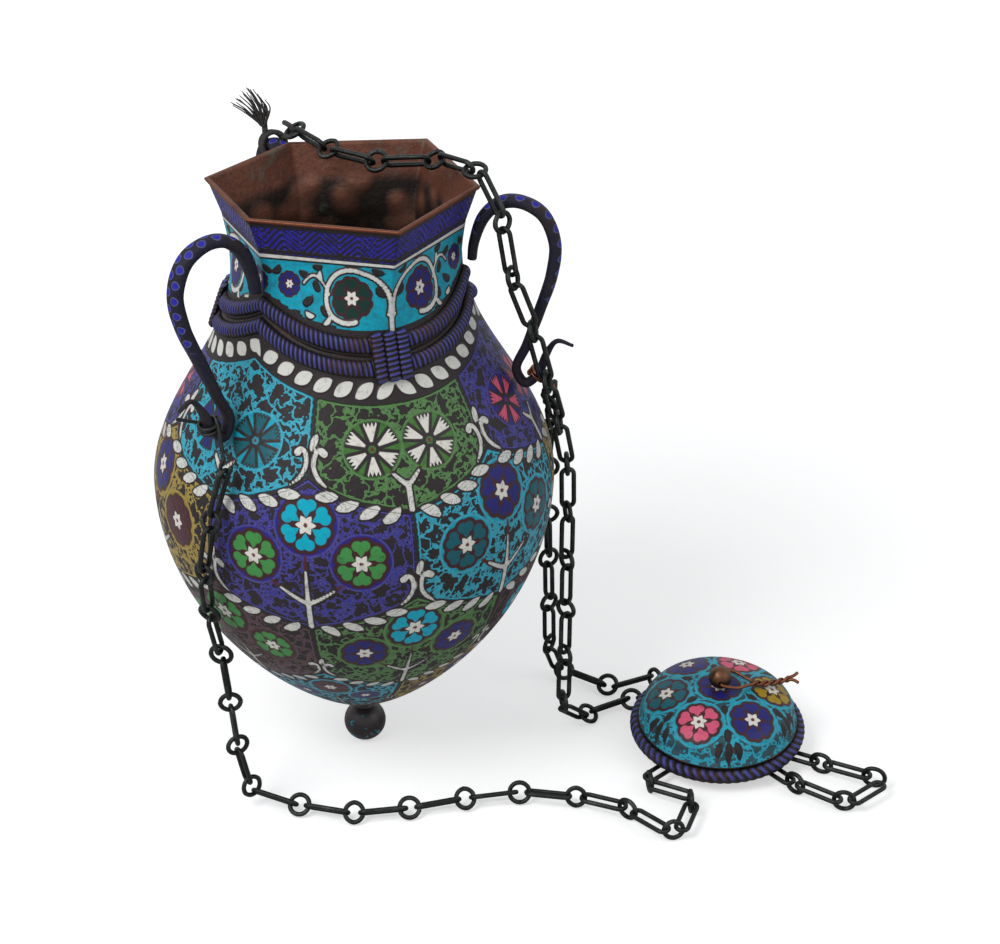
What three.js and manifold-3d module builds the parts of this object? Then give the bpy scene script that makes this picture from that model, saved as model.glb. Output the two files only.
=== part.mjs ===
// An enamelled copper hanging lamp: a round-bellied vessel with a six-sided rim, three handles,
// three chains of round and long links, and a domed ceiling cap. It is shown as it lies at rest:
// the vessel upright on its ball finial, the chains slack, the cap beside it on the floor.
// Millimetres, +Z up, origin under the ball finial at floor level, -Y to the viewer.

import * as THREE from 'three';
import { mergeVertices } from 'three/addons/utils/BufferGeometryUtils.js';
import Module from 'manifold-3d';

const wasm = await Module();
wasm.setup();

// Clearances
const SEAT_GAP = 0.3;
const FUSE_BITE = 0.8;
const JOIN_TOLERANCE = 0.02;
const LINK_PLAY = 1;

// Vessel
const RIM_HEIGHT = 311;
const RIM_RADIUS = 64.6;
const BODY_RADIUS = 98.5;
const BODY_WIDEST = 160;
const SHOULDER_RISE = 110;
const NECK_RADIUS = 56;
const BELLY_SQUARENESS = 1.23;
const WALL = 1.8;
const COLLAR_HEIGHT = 17;
const COLLAR_WAIST_RADIUS = 58.5;
const WAIST_DROP = 15;
const LIP_OVERHANG = 1.2;
const LIP_THICKNESS = 2.2;

// The rim is raised by hand and out of true: each corner's direction, and its reach as a share
// of the rim radius. The first corner is the one nearest the viewer.
const RIM_CORNERS = [
  { degrees: -66, reach: 1.07 },
  { degrees: -6, reach: 0.97 },
  { degrees: 57.5, reach: 1.06 },
  { degrees: 119, reach: 0.945 },
  { degrees: 175, reach: 1.0 },
  { degrees: 229.5, reach: 0.955 },
];

// Finial
const BALL_RADIUS = 10.9;
const STEM_RADIUS = 2.6;
const STEM_NECK_RADIUS = 4.6;
const BOWL_FOOT_RADIUS = 5;
const WASHER_RADIUS = 5.2;
const WASHER_THICKNESS = 1.4;
const RIVET_HEAD_HEIGHT = 1.6;

// Rope mouldings: swags that hang from the handles' feet and dip between them
const SWAG_TOP = 268;
const SWAG_DROP = 15;
const ROPE_SPACING = 10;
const ROPE_WIDTH = 7.2;
const ROPE_RELIEF = 3;
const ROPE_STEPS = 8;
const KNOT_STRANDS = 3;
const KNOT_STRAND_WIDTH = 6.6;
const KNOT_RELIEF = 2.2;
const KNOT_OVERHANG = 5;

// Handles
const HANDLE_WIDTH = 8.6;
const HANDLE_THICKNESS = 6;
const HANDLE_TIP_SHARE = 0.34;
const HANDLES = [
  { name: 'right', degrees: -6, bend: 0 },
  { name: 'back', degrees: 118.5, bend: 0 },
  { name: 'left', degrees: 229.5, bend: -10 },
];
// The handle's middle line as [distance off the wall, height], from its foot above the rope
// mouldings up to the collar, round the loop, down to the shoulder and out to the curl. It
// bends to the side by its full bend at the given reach from its foot, above the given heights.
const HANDLE_LINE = [
  [4.5, 275], [5.3, 283], [7.8, 296], [13.1, 303], [21.8, 303.8], [34.3, 298], [43, 284],
  [41.5, 268], [32, 250], [17.6, 231.5], [5.1, 218.5], [5.2, 211.4], [15, 217], [24.5, 227],
  [33.3, 234], [39.8, 231.9],
];
const BEND_REACH = 40;
const BEND_FROM = 205;
const BEND_FULL = 285;

// Chain: round rings and long links by turns, all of one wire
const WIRE = 2.4;
const RING_DIAMETER = 12.4;
const LINK_LENGTH = 25.4;
const LINK_WIDTH = 8.5;
const WIRE_SIDES = 4;
const LINKS_PER_STRETCH = 4;
const FLOOR_LIFT = 5.5;
const LEFT_LINKS = 35;
const RIGHT_LINKS = 21;
const BACK_LINKS = 46;
const TAIL_LINKS = 4;

// Ties that close the handles' curls over the first rings
const TIE_TURNS = 2.25;
const TIE_SPACING = 0.7;
const TIES = {
  left: { wire: 2, share: 0.865 },
  right: { wire: 1.6, share: 0.845 },
  back: { wire: 2.6, share: 0.235 },
};

// Ceiling cap
const CAP_X = 184.7;
const CAP_Y = -9.2;
const CAP_TILT = 4.5;
const CAP_REST = 6;
const CAP_ROPE_RADIUS = 42;
const CAP_ROPE = 7.2;
const CAP_DOME_RADIUS = 40.4;
const CAP_DOME_RISE = 19.8;
const CAP_DOME_START = 5.1;
const CAP_SQUARENESS = 2.5;
const CAP_WALL = 1.3;
const CAP_SKIRT_RADIUS = 38;
const CAP_SKIRT_DROP = 2.6;
const CAP_EYES = { left: 225, right: 118, back: -27 };
const EYE_DROP = 8.4;
const TWIST_PER_LINK = 9;
const EYE_WIRE = 1.6;
const EYE_TOP = 1.6;
const EYE_WIDTH = 8;

// Knob and hanging loop
const KNOB_RADIUS = 5.9;
const KNOB_BORE = 2.6;
const KNOB_STEM = 3;
const LOOP_WIRE = 1.7;
const LOOP_LENGTH = 16;
const TWIST_LENGTH = 20;
const TWIST_TURNS = 2.5;
const TWIST_GAP = 1.3;
const LOOP_DROOP = 12.5;

const RAD = Math.PI / 180;
const FULL = 2 * Math.PI;
const UP = new THREE.Vector3(0, 0, 1);

const paint = (color, roughness, metalness) =>
  new THREE.MeshStandardMaterial({ color, roughness, metalness });
const MATERIALS = {
  enamel: paint(0x1c2f78, 0.35, 0.1),
  turquoise: paint(0x1aa6c0, 0.35, 0.1),
  copper: paint(0x8a4a30, 0.45, 0.9),
  iron: paint(0x24282a, 0.55, 0.8),
  dark: paint(0x2c2a2c, 0.5, 0.7),
  bronze: paint(0x5a4030, 0.4, 0.9),
  rope: paint(0x1d1a1c, 0.9, 0),
};

const group = new THREE.Group();

function addPiece(name, geometry, material, parent = group) {
  const mesh = new THREE.Mesh(geometry, material);
  mesh.name = name;
  parent.add(mesh);
  return mesh;
}

// Solids and geometry

function toSolid(geometry) {
  const bare = geometry.clone();
  bare.deleteAttribute('normal');
  bare.deleteAttribute('uv');
  const merged = mergeVertices(bare, 1e-4);
  const mesh = new wasm.Mesh({
    numProp: 3,
    vertProperties: new Float32Array(merged.attributes.position.array),
    triVerts: new Uint32Array(merged.index.array),
  });
  return new wasm.Manifold(mesh);
}

function fromSolid(solid) {
  const mesh = solid.getMesh();
  const geometry = new THREE.BufferGeometry();
  geometry.setAttribute('position', new THREE.BufferAttribute(mesh.vertProperties.slice(), 3));
  geometry.setIndex(new THREE.BufferAttribute(mesh.triVerts.slice(), 1));
  geometry.computeVertexNormals();
  return geometry;
}

function fused(geometries) {
  const whole = geometries.map(toSolid).reduce((all, next) => all.add(next));
  return fromSolid(whole.asOriginal().setTolerance(JOIN_TOLERANCE));
}

// A closed surface through rings of points. Each ring runs anticlockwise when seen from the
// ring after it. A closed loft joins its last ring to its first, an open one is capped.
function loft(rings, closed = false) {
  const count = rings[0].length;
  const positions = rings.flat().flatMap((p) => [p.x, p.y, p.z]);
  const index = [];
  const bands = closed ? rings.length : rings.length - 1;
  for (let i = 0; i < bands; i++) {
    const here = i * count;
    const there = ((i + 1) % rings.length) * count;
    for (let k = 0; k < count; k++) {
      const next = (k + 1) % count;
      index.push(here + k, here + next, there + next);
      index.push(here + k, there + next, there + k);
    }
  }
  if (!closed) {
    const last = (rings.length - 1) * count;
    for (let k = 1; k < count - 1; k++) {
      index.push(0, k + 1, k);
      index.push(last, last + k, last + k + 1);
    }
  }
  const geometry = new THREE.BufferGeometry();
  geometry.setAttribute('position', new THREE.Float32BufferAttribute(positions, 3));
  geometry.setIndex(index);
  geometry.computeVertexNormals();
  return geometry;
}

// A tube of even section along points, closed or with flat ends. The section keeps to the
// given side direction, so that it doesn't turn along the way.
function tube(points, radius, sides, closed, side) {
  const count = points.length;
  const rings = points.map((point, i) => {
    const before = points[closed ? (i + count - 1) % count : Math.max(i - 1, 0)];
    const after = points[closed ? (i + 1) % count : Math.min(i + 1, count - 1)];
    const along = after.clone().sub(before).normalize();
    const out = side(i).clone();
    out.addScaledVector(along, -out.dot(along)).normalize();
    const across = along.clone().cross(out);
    const ring = [];
    for (let k = 0; k < sides; k++) {
      const a = (FULL * (k + 0.5)) / sides;
      ring.push(point.clone()
        .addScaledVector(out, radius * Math.cos(a))
        .addScaledVector(across, radius * Math.sin(a)));
    }
    return ring;
  });
  return loft(rings, closed);
}

const around = (degrees, radius, height) =>
  new THREE.Vector3(radius * Math.cos(degrees * RAD), radius * Math.sin(degrees * RAD), height);

// The vessel's form

const BODY_BOTTOM = 2 * BALL_RADIUS + 1.2;
const NECK_BOTTOM = BODY_WIDEST + SHOULDER_RISE;
const COLLAR_BOTTOM = RIM_HEIGHT - COLLAR_HEIGHT;
const WAIST_HEIGHT = COLLAR_BOTTOM - WAIST_DROP;

// Radius of the round bowl at a height: a squared-off belly below the widest line and a
// cosine shoulder above it.
function roundRadius(height) {
  if (height <= BODY_WIDEST) {
    const down = (BODY_WIDEST - height) / (BODY_WIDEST - BODY_BOTTOM);
    return BODY_RADIUS * (1 - Math.min(down, 1) ** 2) ** (1 / BELLY_SQUARENESS);
  }
  const up = Math.min((height - BODY_WIDEST) / SHOULDER_RISE, 1);
  return NECK_RADIUS + ((BODY_RADIUS - NECK_RADIUS) * (1 + Math.cos(Math.PI * up))) / 2;
}

// Height of the small flat that the finial meets
const FOOT_SHARE = (BOWL_FOOT_RADIUS / BODY_RADIUS) ** BELLY_SQUARENESS;
const BOWL_FOOT = BODY_BOTTOM + (BODY_WIDEST - BODY_BOTTOM) * (1 - Math.sqrt(1 - FOOT_SHARE));

// Distance from the axis to the rim's six-sided outline in a direction, as a share of its radius
function rimShare(degrees) {
  const ray = around(degrees, 1, 0);
  for (let i = 0; i < RIM_CORNERS.length; i++) {
    const a = RIM_CORNERS[i];
    const b = RIM_CORNERS[(i + 1) % RIM_CORNERS.length];
    const span = (b.degrees - a.degrees + 360) % 360;
    const from = (degrees - a.degrees + 720) % 360;
    if (from <= span + 1e-9) {
      const p = around(a.degrees, a.reach, 0);
      const edge = around(b.degrees, b.reach, 0).sub(p);
      return (p.x * edge.y - p.y * edge.x) / (ray.x * edge.y - ray.y * edge.x);
    }
  }
  return 1;
}

// Radius of the neck's corners: the waist under the collar, and the collar flaring to the rim
function cornerRadius(height) {
  if (height >= COLLAR_BOTTOM) {
    const up = (height - COLLAR_BOTTOM) / COLLAR_HEIGHT;
    return THREE.MathUtils.lerp(COLLAR_WAIST_RADIUS, RIM_RADIUS, up);
  }
  const up = THREE.MathUtils.clamp((height - WAIST_HEIGHT) / WAIST_DROP, 0, 1);
  return THREE.MathUtils.lerp(NECK_RADIUS, COLLAR_WAIST_RADIUS, up);
}

// The wall's radius: round in the bowl, six-sided in the collar, one turning into the other
function wallRadius(degrees, height) {
  const flatness = THREE.MathUtils.smoothstep(height, NECK_BOTTOM - 20, COLLAR_BOTTOM - 2);
  const square = cornerRadius(height) * rimShare(degrees);
  return THREE.MathUtils.lerp(roundRadius(height), square, flatness);
}

// Outward normal of the wall in its upright plane
function wallNormal(degrees, height) {
  const rise = 1;
  const slope = (wallRadius(degrees, height + rise) - wallRadius(degrees, height - rise)) / 2;
  return around(degrees, 1, -slope).normalize();
}

const onWall = (degrees, height, off) =>
  around(degrees, wallRadius(degrees, height), height)
    .addScaledVector(wallNormal(degrees, height), off);

// Height of the seam between bowl and neck, which is the swags' middle line
function swagHeight(degrees) {
  const tops = HANDLES.map((h) => h.degrees).sort((a, b) => a - b);
  for (let i = 0; i < tops.length; i++) {
    const next = tops[(i + 1) % tops.length];
    const span = (next - tops[i] + 360) % 360;
    const from = (degrees - tops[i] + 720) % 360;
    if (from <= span + 1e-9) {
      return SWAG_TOP - SWAG_DROP * (1 - (2 * (from / span) - 1) ** 2);
    }
  }
  return SWAG_TOP;
}

// Directions round the wall: even steps along each side of the six-sided rim
function wallDirections(perSide) {
  return RIM_CORNERS.flatMap((corner, i) => {
    const next = RIM_CORNERS[(i + 1) % RIM_CORNERS.length].degrees;
    const span = (next - corner.degrees + 360) % 360;
    return Array.from({ length: perSide }, (_, k) => corner.degrees + (span * k) / perSide);
  });
}

const PER_SIDE = 5;
const SEAM_BELOW_ROPES = ROPE_SPACING / 2;

function shell(outerRows, innerRows) {
  const directions = wallDirections(PER_SIDE);
  const ring = (row) => directions.map((degrees) => row(degrees));
  return loft([...outerRows.map(ring), ...innerRows.map(ring)], true);
}

const seam = (degrees) => swagHeight(degrees) - SEAM_BELOW_ROPES;

// Rows of the bowl: shares of the way up to the ropes, then steps below the seam
const OUTER_SHARES = [0, 0.012, 0.04, 0.09, 0.17, 0.26, 0.36, 0.47, 0.58, 0.7, 0.81, 0.91];
const INNER_SHARES = [0, 0.03, 0.1, 0.22, 0.38, 0.55, 0.72, 0.88];
const OUTER_STEPS = [12, 8, 4, 0];
const INNER_STEPS = [12, 5, 0];

function bowl() {
  const hole = STEM_RADIUS + SEAT_GAP;
  const rows = (foot, shares, steps) => {
    const top = (d) => seam(d) - SEAT_GAP / 2;
    const lower = shares.map((share) => (d) =>
      THREE.MathUtils.lerp(foot, top(d) - steps[0], share));
    return [...lower, ...steps.map((step) => (d) => top(d) - step)];
  };
  const outer = rows(BOWL_FOOT, OUTER_SHARES, OUTER_STEPS)
    .map((height) => (d) => onWall(d, height(d), 0));
  const inner = rows(BOWL_FOOT + WALL, INNER_SHARES, INNER_STEPS)
    .map((height) => (d) => around(d, wallRadius(d, height(d)) - WALL, height(d)))
    .reverse();
  inner.push((d) => around(d, hole, BOWL_FOOT + WALL));
  inner.push((d) => around(d, hole, BOWL_FOOT));
  return shell(outer, inner);
}

const NECK_STEPS = [0, 4, 8, 13];

function neck() {
  const low = (d) => seam(d) + SEAT_GAP / 2;
  const lipBottom = RIM_HEIGHT - LIP_THICKNESS;
  const row = (height, off) => (d) => around(d, wallRadius(d, height(d)) + off, height(d));
  const between = (share) => (d) => THREE.MathUtils.lerp(low(d), COLLAR_BOTTOM, share);
  const level = (height) => () => height;
  return shell([
    ...NECK_STEPS.map((step) => row((d) => low(d) + step, 0)),
    row(between(0.65), 0),
    row(level(COLLAR_BOTTOM), 0),
    row(level(lipBottom), 0),
    row(level(lipBottom + 0.4), LIP_OVERHANG),
    row(level(RIM_HEIGHT), LIP_OVERHANG * 0.7),
  ], [
    row(level(RIM_HEIGHT), -WALL),
    row(level(COLLAR_BOTTOM), -WALL),
    row(between(0.4), -WALL),
    row(low, -WALL),
  ]);
}

// Points of a half-round section between two points of the wall
function halfRound(low, high, normal, relief) {
  const middle = low.clone().add(high).multiplyScalar(0.5);
  const across = high.clone().sub(middle);
  return [0, 0.3, 0.7, 1].map((share) => {
    const a = Math.PI * share;
    return middle.clone()
      .addScaledVector(across, Math.cos(a))
      .addScaledVector(normal, relief * Math.sin(a));
  });
}

// A half-round moulding laid on the wall along a line of heights
function moulding(heightAt, width, reliefAt) {
  const rings = wallDirections(ROPE_STEPS).map((degrees) => {
    const height = heightAt(degrees);
    const low = onWall(degrees, height - width / 2, SEAT_GAP);
    const high = onWall(degrees, height + width / 2, SEAT_GAP);
    return halfRound(low, high, wallNormal(degrees, height), reliefAt(degrees));
  });
  return loft(rings, true);
}

const knotDirections = () => {
  const tops = HANDLES.map((h) => h.degrees).sort((a, b) => a - b);
  return tops.map((top, i) => {
    const span = (tops[(i + 1) % tops.length] - top + 360) % 360;
    return top + span / 2;
  });
};

// The ropes are flattened where the knots pass over them
function ropeRelief(degrees) {
  const nearest = Math.min(...knotDirections().map((k) => {
    const off = Math.abs(((degrees - k + 540) % 360) - 180);
    return (off * RAD) * NECK_RADIUS;
  }));
  const half = (KNOT_STRANDS * KNOT_STRAND_WIDTH) / 2 + 4;
  return nearest < half ? ROPE_RELIEF * 0.45 : ROPE_RELIEF;
}

// Three short ropes side by side, arched over both swag ropes
function knot(degrees) {
  const middle = swagHeight(degrees) - ROPE_SPACING / 2;
  const reach = ROPE_SPACING / 2 + ROPE_WIDTH / 2 + KNOT_OVERHANG / 2;
  const strands = [];
  const pitch = KNOT_STRAND_WIDTH - FUSE_BITE;
  for (let s = 0; s < KNOT_STRANDS; s++) {
    const shift = (s - (KNOT_STRANDS - 1) / 2) * pitch;
    const rings = [];
    const steps = 5;
    for (let i = 0; i <= steps; i++) {
      const height = middle + reach * (1 - (2 * i) / steps);
      const turn = degrees + (shift / wallRadius(degrees, height)) / RAD;
      const normal = wallNormal(degrees, height);
      const lift = SEAT_GAP * 2.5 + ROPE_RELIEF * 0.45 * Math.sin((Math.PI * i) / steps) ** 0.3;
      const base = onWall(turn, height, lift);
      const across = new THREE.Vector3().crossVectors(UP, around(degrees, 1, 0)).normalize();
      rings.push([0, 0.3, 0.7, 1].map((share) => {
        const a = Math.PI * share;
        return base.clone()
          .addScaledVector(across, (KNOT_STRAND_WIDTH / 2) * Math.cos(a))
          .addScaledVector(normal, KNOT_RELIEF * Math.sin(a));
      }));
    }
    strands.push(loft(rings));
  }
  return fused(strands);
}

// Handles

// All three handles are alike, made to the wall at the first
const handleReach = ([off, height]) => wallRadius(HANDLES[0].degrees, height) + off;

function handleCurve(handle) {
  const foot = handleReach(HANDLE_LINE[0]);
  const points = HANDLE_LINE.map(([off, height]) => {
    const reach = handleReach([off, height]);
    const share = THREE.MathUtils.clamp((reach - foot) / BEND_REACH, 0, 1);
    const high = THREE.MathUtils.smoothstep(height, BEND_FROM, BEND_FULL);
    const side = around(handle.degrees + 90, handle.bend * share * high, 0);
    return around(handle.degrees, reach, height).add(side);
  });
  return new THREE.CatmullRomCurve3(points, false, 'centripetal');
}

function handleSection(handle, curve, u) {
  const along = curve.getTangentAt(u);
  const side = around(handle.degrees + 90, 1, 0);
  side.addScaledVector(along, -side.dot(along)).normalize();
  const out = side.clone().cross(along);
  return { point: curve.getPointAt(u), side, out };
}

// Share of the full section along a handle
function handleSize(u) {
  const lower = THREE.MathUtils.smoothstep(u, 0.42, 0.8);
  const tip = THREE.MathUtils.smoothstep(u, 0.86, 1);
  const foot = 1 - 0.25 * (1 - THREE.MathUtils.smoothstep(u, 0, 0.12));
  return foot * (1 - 0.28 * lower) * (1 - (1 - HANDLE_TIP_SHARE) * tip);
}

function handleShape(handle) {
  const curve = handleCurve(handle);
  const steps = 26;
  const sides = 6;
  const rings = [];
  for (let i = 0; i <= steps; i++) {
    const u = i / steps;
    const { point, side, out } = handleSection(handle, curve, u);
    const size = handleSize(u);
    const ring = [];
    for (let k = 0; k < sides; k++) {
      const a = (FULL * (k + 0.5)) / sides;
      ring.push(point.clone()
        .addScaledVector(side, (HANDLE_WIDTH / 2) * size * Math.cos(a))
        .addScaledVector(out, -(HANDLE_THICKNESS / 2) * size * Math.sin(a)));
    }
    rings.push(ring);
  }
  return loft(rings);
}

// Chain links

const WIRE_RADIUS = WIRE / 2;
// Corner radius of the wire's four-sided section, which has the round wire's area
const SECTION_RADIUS = WIRE_RADIUS * Math.sqrt(Math.PI / 2);
const RING_SPAN = RING_DIAMETER - 2 * WIRE;
const LINK_SPAN = LINK_LENGTH - 2 * WIRE;

// A link between two pivots, its end bars the given distances past them
function linkShape(a, b, normal, width, pastA, pastB) {
  const along = b.clone().sub(a);
  const span = along.length();
  along.normalize();
  const flat = normal.clone().addScaledVector(along, -normal.dot(along)).normalize();
  const across = flat.clone().cross(along);
  const half = width / 2 - WIRE_RADIUS;
  const endA = -pastA;
  const endB = span + pastB;
  const bendSteps = width > LINK_WIDTH ? 4 : 3;
  const line = [];
  for (const [end, sign] of [[endB, 1], [endA, -1]]) {
    for (let i = 0; i <= bendSteps; i++) {
      const t = -Math.PI / 2 + (Math.PI * i) / bendSteps;
      const x = end - sign * half + sign * half * Math.cos(t);
      line.push(new THREE.Vector2(x, sign * half * Math.sin(t)));
    }
  }
  const points = line
    .filter((p, i) => p.distanceTo(line[(i + 1) % line.length]) > 0.6)
    .map((p) => a.clone().addScaledVector(along, p.x).addScaledVector(across, p.y));
  return tube(points, SECTION_RADIUS, WIRE_SIDES, true, () => flat);
}

// Pivots along a route, a ring's span and a long link's span apart by turns
function pivotsAlong(route, firstIsRing, count) {
  const curve = new THREE.CatmullRomCurve3(
    route.map((p) => new THREE.Vector3(...p)), false, 'centripetal');
  const samples = curve.getPoints(route.length * 120);
  const pivots = [samples[0]];
  let at = 0;
  for (let n = 0; n < count; n++) {
    const span = (n % 2 === 0) === firstIsRing ? RING_SPAN : LINK_SPAN;
    const from = pivots[pivots.length - 1];
    while (at < samples.length && samples[at].distanceTo(from) < span) {
      at += 1;
    }
    if (at >= samples.length) {
      break;
    }
    const before = samples[at - 1];
    const gap = span - before.distanceTo(from);
    const step = samples[at].clone().sub(before).normalize();
    pivots.push(before.clone().addScaledVector(step, gap));
  }
  return pivots;
}

// Pivots of the first links out of the cap, by each link's heading in plan and its far
// pivot's height
function walk(start, steps) {
  const pivots = [start];
  steps.forEach(([heading, height], n) => {
    const from = pivots[n];
    const span = n % 2 === 1 ? RING_SPAN : LINK_SPAN;
    const rise = height - from.z;
    const level = around(heading, Math.sqrt(span ** 2 - rise ** 2), rise);
    pivots.push(from.clone().add(level));
  });
  return pivots;
}

// Which way a chain's rings face: off the vessel where they lie on it, else to the front and up
function ringFacing(point) {
  const onVessel = Math.hypot(point.x, point.y) < wallRadius(0, BODY_WIDEST) + 12;
  if (onVessel && point.z > BODY_WIDEST / 2 && point.z < SWAG_TOP) {
    return new THREE.Vector3(point.x, point.y, 0).normalize();
  }
  return new THREE.Vector3(0, -1, 1).normalize();
}

// The links along a row of pivots, each square to the one before. The first ones, by the cap,
// are flat and upright by turns; the others twist little by little to face as they lie.
function chainLinks(pivots, untwisted, turn, splitAt) {
  let normal = UP.clone();
  const shapes = pivots.slice(0, -1).map((a, n) => {
    const b = pivots[n + 1];
    const isRing = n % 2 === 1;
    const along = b.clone().sub(a).normalize();
    if (n > 0) {
      normal = along.clone().cross(normal).normalize();
    }
    if (n >= untwisted) {
      const face = ringFacing(a.clone().add(b).multiplyScalar(0.5));
      face.addScaledVector(along, -face.dot(along)).normalize().applyAxisAngle(along, turn * RAD);
      const target = isRing ? face : along.clone().cross(face);
      target.multiplyScalar(Math.sign(target.dot(normal)) || 1);
      const off = Math.asin(THREE.MathUtils.clamp(normal.clone().cross(target).dot(along), -1, 1));
      const most = TWIST_PER_LINK * RAD;
      normal.applyAxisAngle(along, THREE.MathUtils.clamp(off, -most, most));
    }
    const width = isRing ? RING_DIAMETER : LINK_WIDTH;
    return linkShape(a, b, normal, width, past(pivots, n, splitAt), past(pivots, n + 1, splitAt));
  });
  return { shapes, normal };
}

// How far a link's end bar lies past its pivot: more where the chain turns there, and with
// play where two pieces meet
function past(pivots, edge, splitAt) {
  const play = splitAt(edge) ? LINK_PLAY : -FUSE_BITE;
  const here = pivots[edge];
  let half = 1;
  if (edge > 0 && edge < pivots.length - 1) {
    const before = here.clone().sub(pivots[edge - 1]).normalize();
    const after = pivots[edge + 1].clone().sub(here).normalize();
    half = Math.max(before.add(after).length() / 2, 0.6);
  }
  return (WIRE_RADIUS + play / 2) / half;
}

// A chain as stretches of fused links, each stretch a piece of its own, after the first
// pieces that start at the given links. Gives its end, which a tie hooks through.
function chain(name, begin, route, turn, count, starts = [0]) {
  const last = begin[begin.length - 1];
  const nextIsRing = (begin.length - 1) % 2 === 1;
  const rest = route.length
    ? pivotsAlong([[last.x, last.y, last.z], ...route], nextIsRing, count - begin.length + 1)
    : [last];
  const pivots = [...begin, ...rest.slice(1)];
  const total = pivots.length - 1;
  const edges = [...starts];
  while (edges[edges.length - 1] + LINKS_PER_STRETCH < total) {
    edges.push(edges[edges.length - 1] + LINKS_PER_STRETCH);
  }
  edges.push(total);
  const { shapes, normal } = chainLinks(
    pivots, begin.length - 1, turn, (edge) => edges.includes(edge));
  for (let n = 0; n < edges.length - 1; n++) {
    const some = shapes.slice(edges[n], edges[n + 1]);
    const shape = some.length > 1 ? fused(some) : some[0];
    addPiece(`${name}_${n + 1}`, shape, MATERIALS.iron);
  }
  return { pivots, normal };
}

// A wire of even section along a curve
function wireAlong(curve, steps, radius, sides) {
  const frames = curve.computeFrenetFrames(steps, false);
  const rings = [];
  for (let i = 0; i <= steps; i++) {
    const point = curve.getPointAt(i / steps);
    const ring = [];
    for (let k = 0; k < sides; k++) {
      const a = (FULL * k) / sides;
      ring.push(point.clone()
        .addScaledVector(frames.normals[i], radius * Math.cos(a))
        .addScaledVector(frames.binormals[i], radius * Math.sin(a)));
    }
    rings.push(ring);
  }
  return loft(rings);
}

// A tie: turns round the handle's curl, then a hook under the end of the chain's last link
function tie(handle, { wire: diameter, share: place }, { pivots, normal }) {
  const curve = handleCurve(handle);
  const length = curve.getLength();
  const middle = handleSection(handle, curve, place);
  const radius = (HANDLE_WIDTH / 2) * handleSize(place) + 2 * SEAT_GAP + diameter / 2;
  const pitch = diameter + TIE_SPACING;
  const last = pivots[pivots.length - 1];
  const along = last.clone().sub(pivots[pivots.length - 2]).normalize();
  const bar = last.clone().addScaledVector(along, WIRE_RADIUS);
  const toBar = bar.clone().sub(middle.point);
  const flat = normal.clone().multiplyScalar(-Math.sign(normal.dot(toBar)) || 1);
  const start = Math.atan2(toBar.dot(middle.out), toBar.dot(middle.side));
  const points = [];
  const steps = Math.round(TIE_TURNS * 10);
  for (let i = 0; i <= steps; i++) {
    const turn = (i / steps - 1) * TIE_TURNS;
    const a = start + turn * FULL - Math.PI / 2;
    const shift = (turn * pitch + (TIE_TURNS * pitch) / 2) / length;
    const { point, side, out } = handleSection(handle, curve, place + shift);
    points.push(point.clone()
      .addScaledVector(side, radius * Math.cos(a))
      .addScaledVector(out, radius * Math.sin(a)));
  }
  const reach = WIRE_RADIUS * 1.25 + SEAT_GAP + diameter / 2;
  const hook = [[5, 1], [1.5, 1], [-0.72, 0.7], [-1, 0], [-0.72, -0.7], [1.5, -1], [3.4, -1]];
  for (const [forth, aside] of hook) {
    points.push(bar.clone()
      .addScaledVector(along, forth > 0 ? forth : forth * reach)
      .addScaledVector(flat, aside * reach));
  }
  const path = new THREE.CatmullRomCurve3(points, false, 'centripetal');
  return wireAlong(path, 50, diameter / 2, 5);
}

// Turned pieces, as a closed profile of [radius, height] going up outside and down inside
function turned(profile, sides) {
  const rings = profile.map(([r, z]) =>
    Array.from({ length: sides }, (_, k) => around((360 * k) / sides, r, z)));
  return loft(rings, true);
}

// Turned pieces with a profile that starts and ends on the axis
function solidTurned(profile, sides) {
  const geometry = new THREE.LatheGeometry(
    profile.map(([r, z]) => new THREE.Vector2(r, z)), sides);
  return geometry.rotateX(Math.PI / 2);
}

// The vessel's pieces

addPiece('bowl', bowl(), MATERIALS.enamel);
addPiece('neck', neck(), MATERIALS.turquoise);
addPiece('rope_upper', moulding(swagHeight, ROPE_WIDTH, ropeRelief), MATERIALS.dark);
const lowerRope = (degrees) => swagHeight(degrees) - ROPE_SPACING;
addPiece('rope_lower', moulding(lowerRope, ROPE_WIDTH, ropeRelief), MATERIALS.dark);
['right', 'back', 'front'].forEach((side, i) => {
  addPiece(`knot_${side}`, knot(knotDirections()[i]), MATERIALS.dark);
});

const WASHER_BOTTOM = BOWL_FOOT + WALL + SEAT_GAP;
const RIVET_BOTTOM = WASHER_BOTTOM + WASHER_THICKNESS + SEAT_GAP;
const BALL_CUT = Math.acos(STEM_NECK_RADIUS / BALL_RADIUS);
const ballArc = Array.from({ length: 9 }, (_, i) => {
  const a = -Math.PI / 2 + ((Math.PI / 2 + BALL_CUT) * i) / 8;
  return [i === 0 ? 0 : BALL_RADIUS * Math.cos(a), BALL_RADIUS * (1 + Math.sin(a))];
});
addPiece('ball_finial', solidTurned([
  ...ballArc,
  [STEM_NECK_RADIUS, BOWL_FOOT - SEAT_GAP],
  [STEM_RADIUS, BOWL_FOOT - SEAT_GAP],
  [STEM_RADIUS, RIVET_BOTTOM],
  [STEM_RADIUS * 1.7, RIVET_BOTTOM],
  [STEM_RADIUS * 1.3, RIVET_BOTTOM + RIVET_HEAD_HEIGHT * 0.7],
  [0, RIVET_BOTTOM + RIVET_HEAD_HEIGHT],
], 16), MATERIALS.dark);
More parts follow.
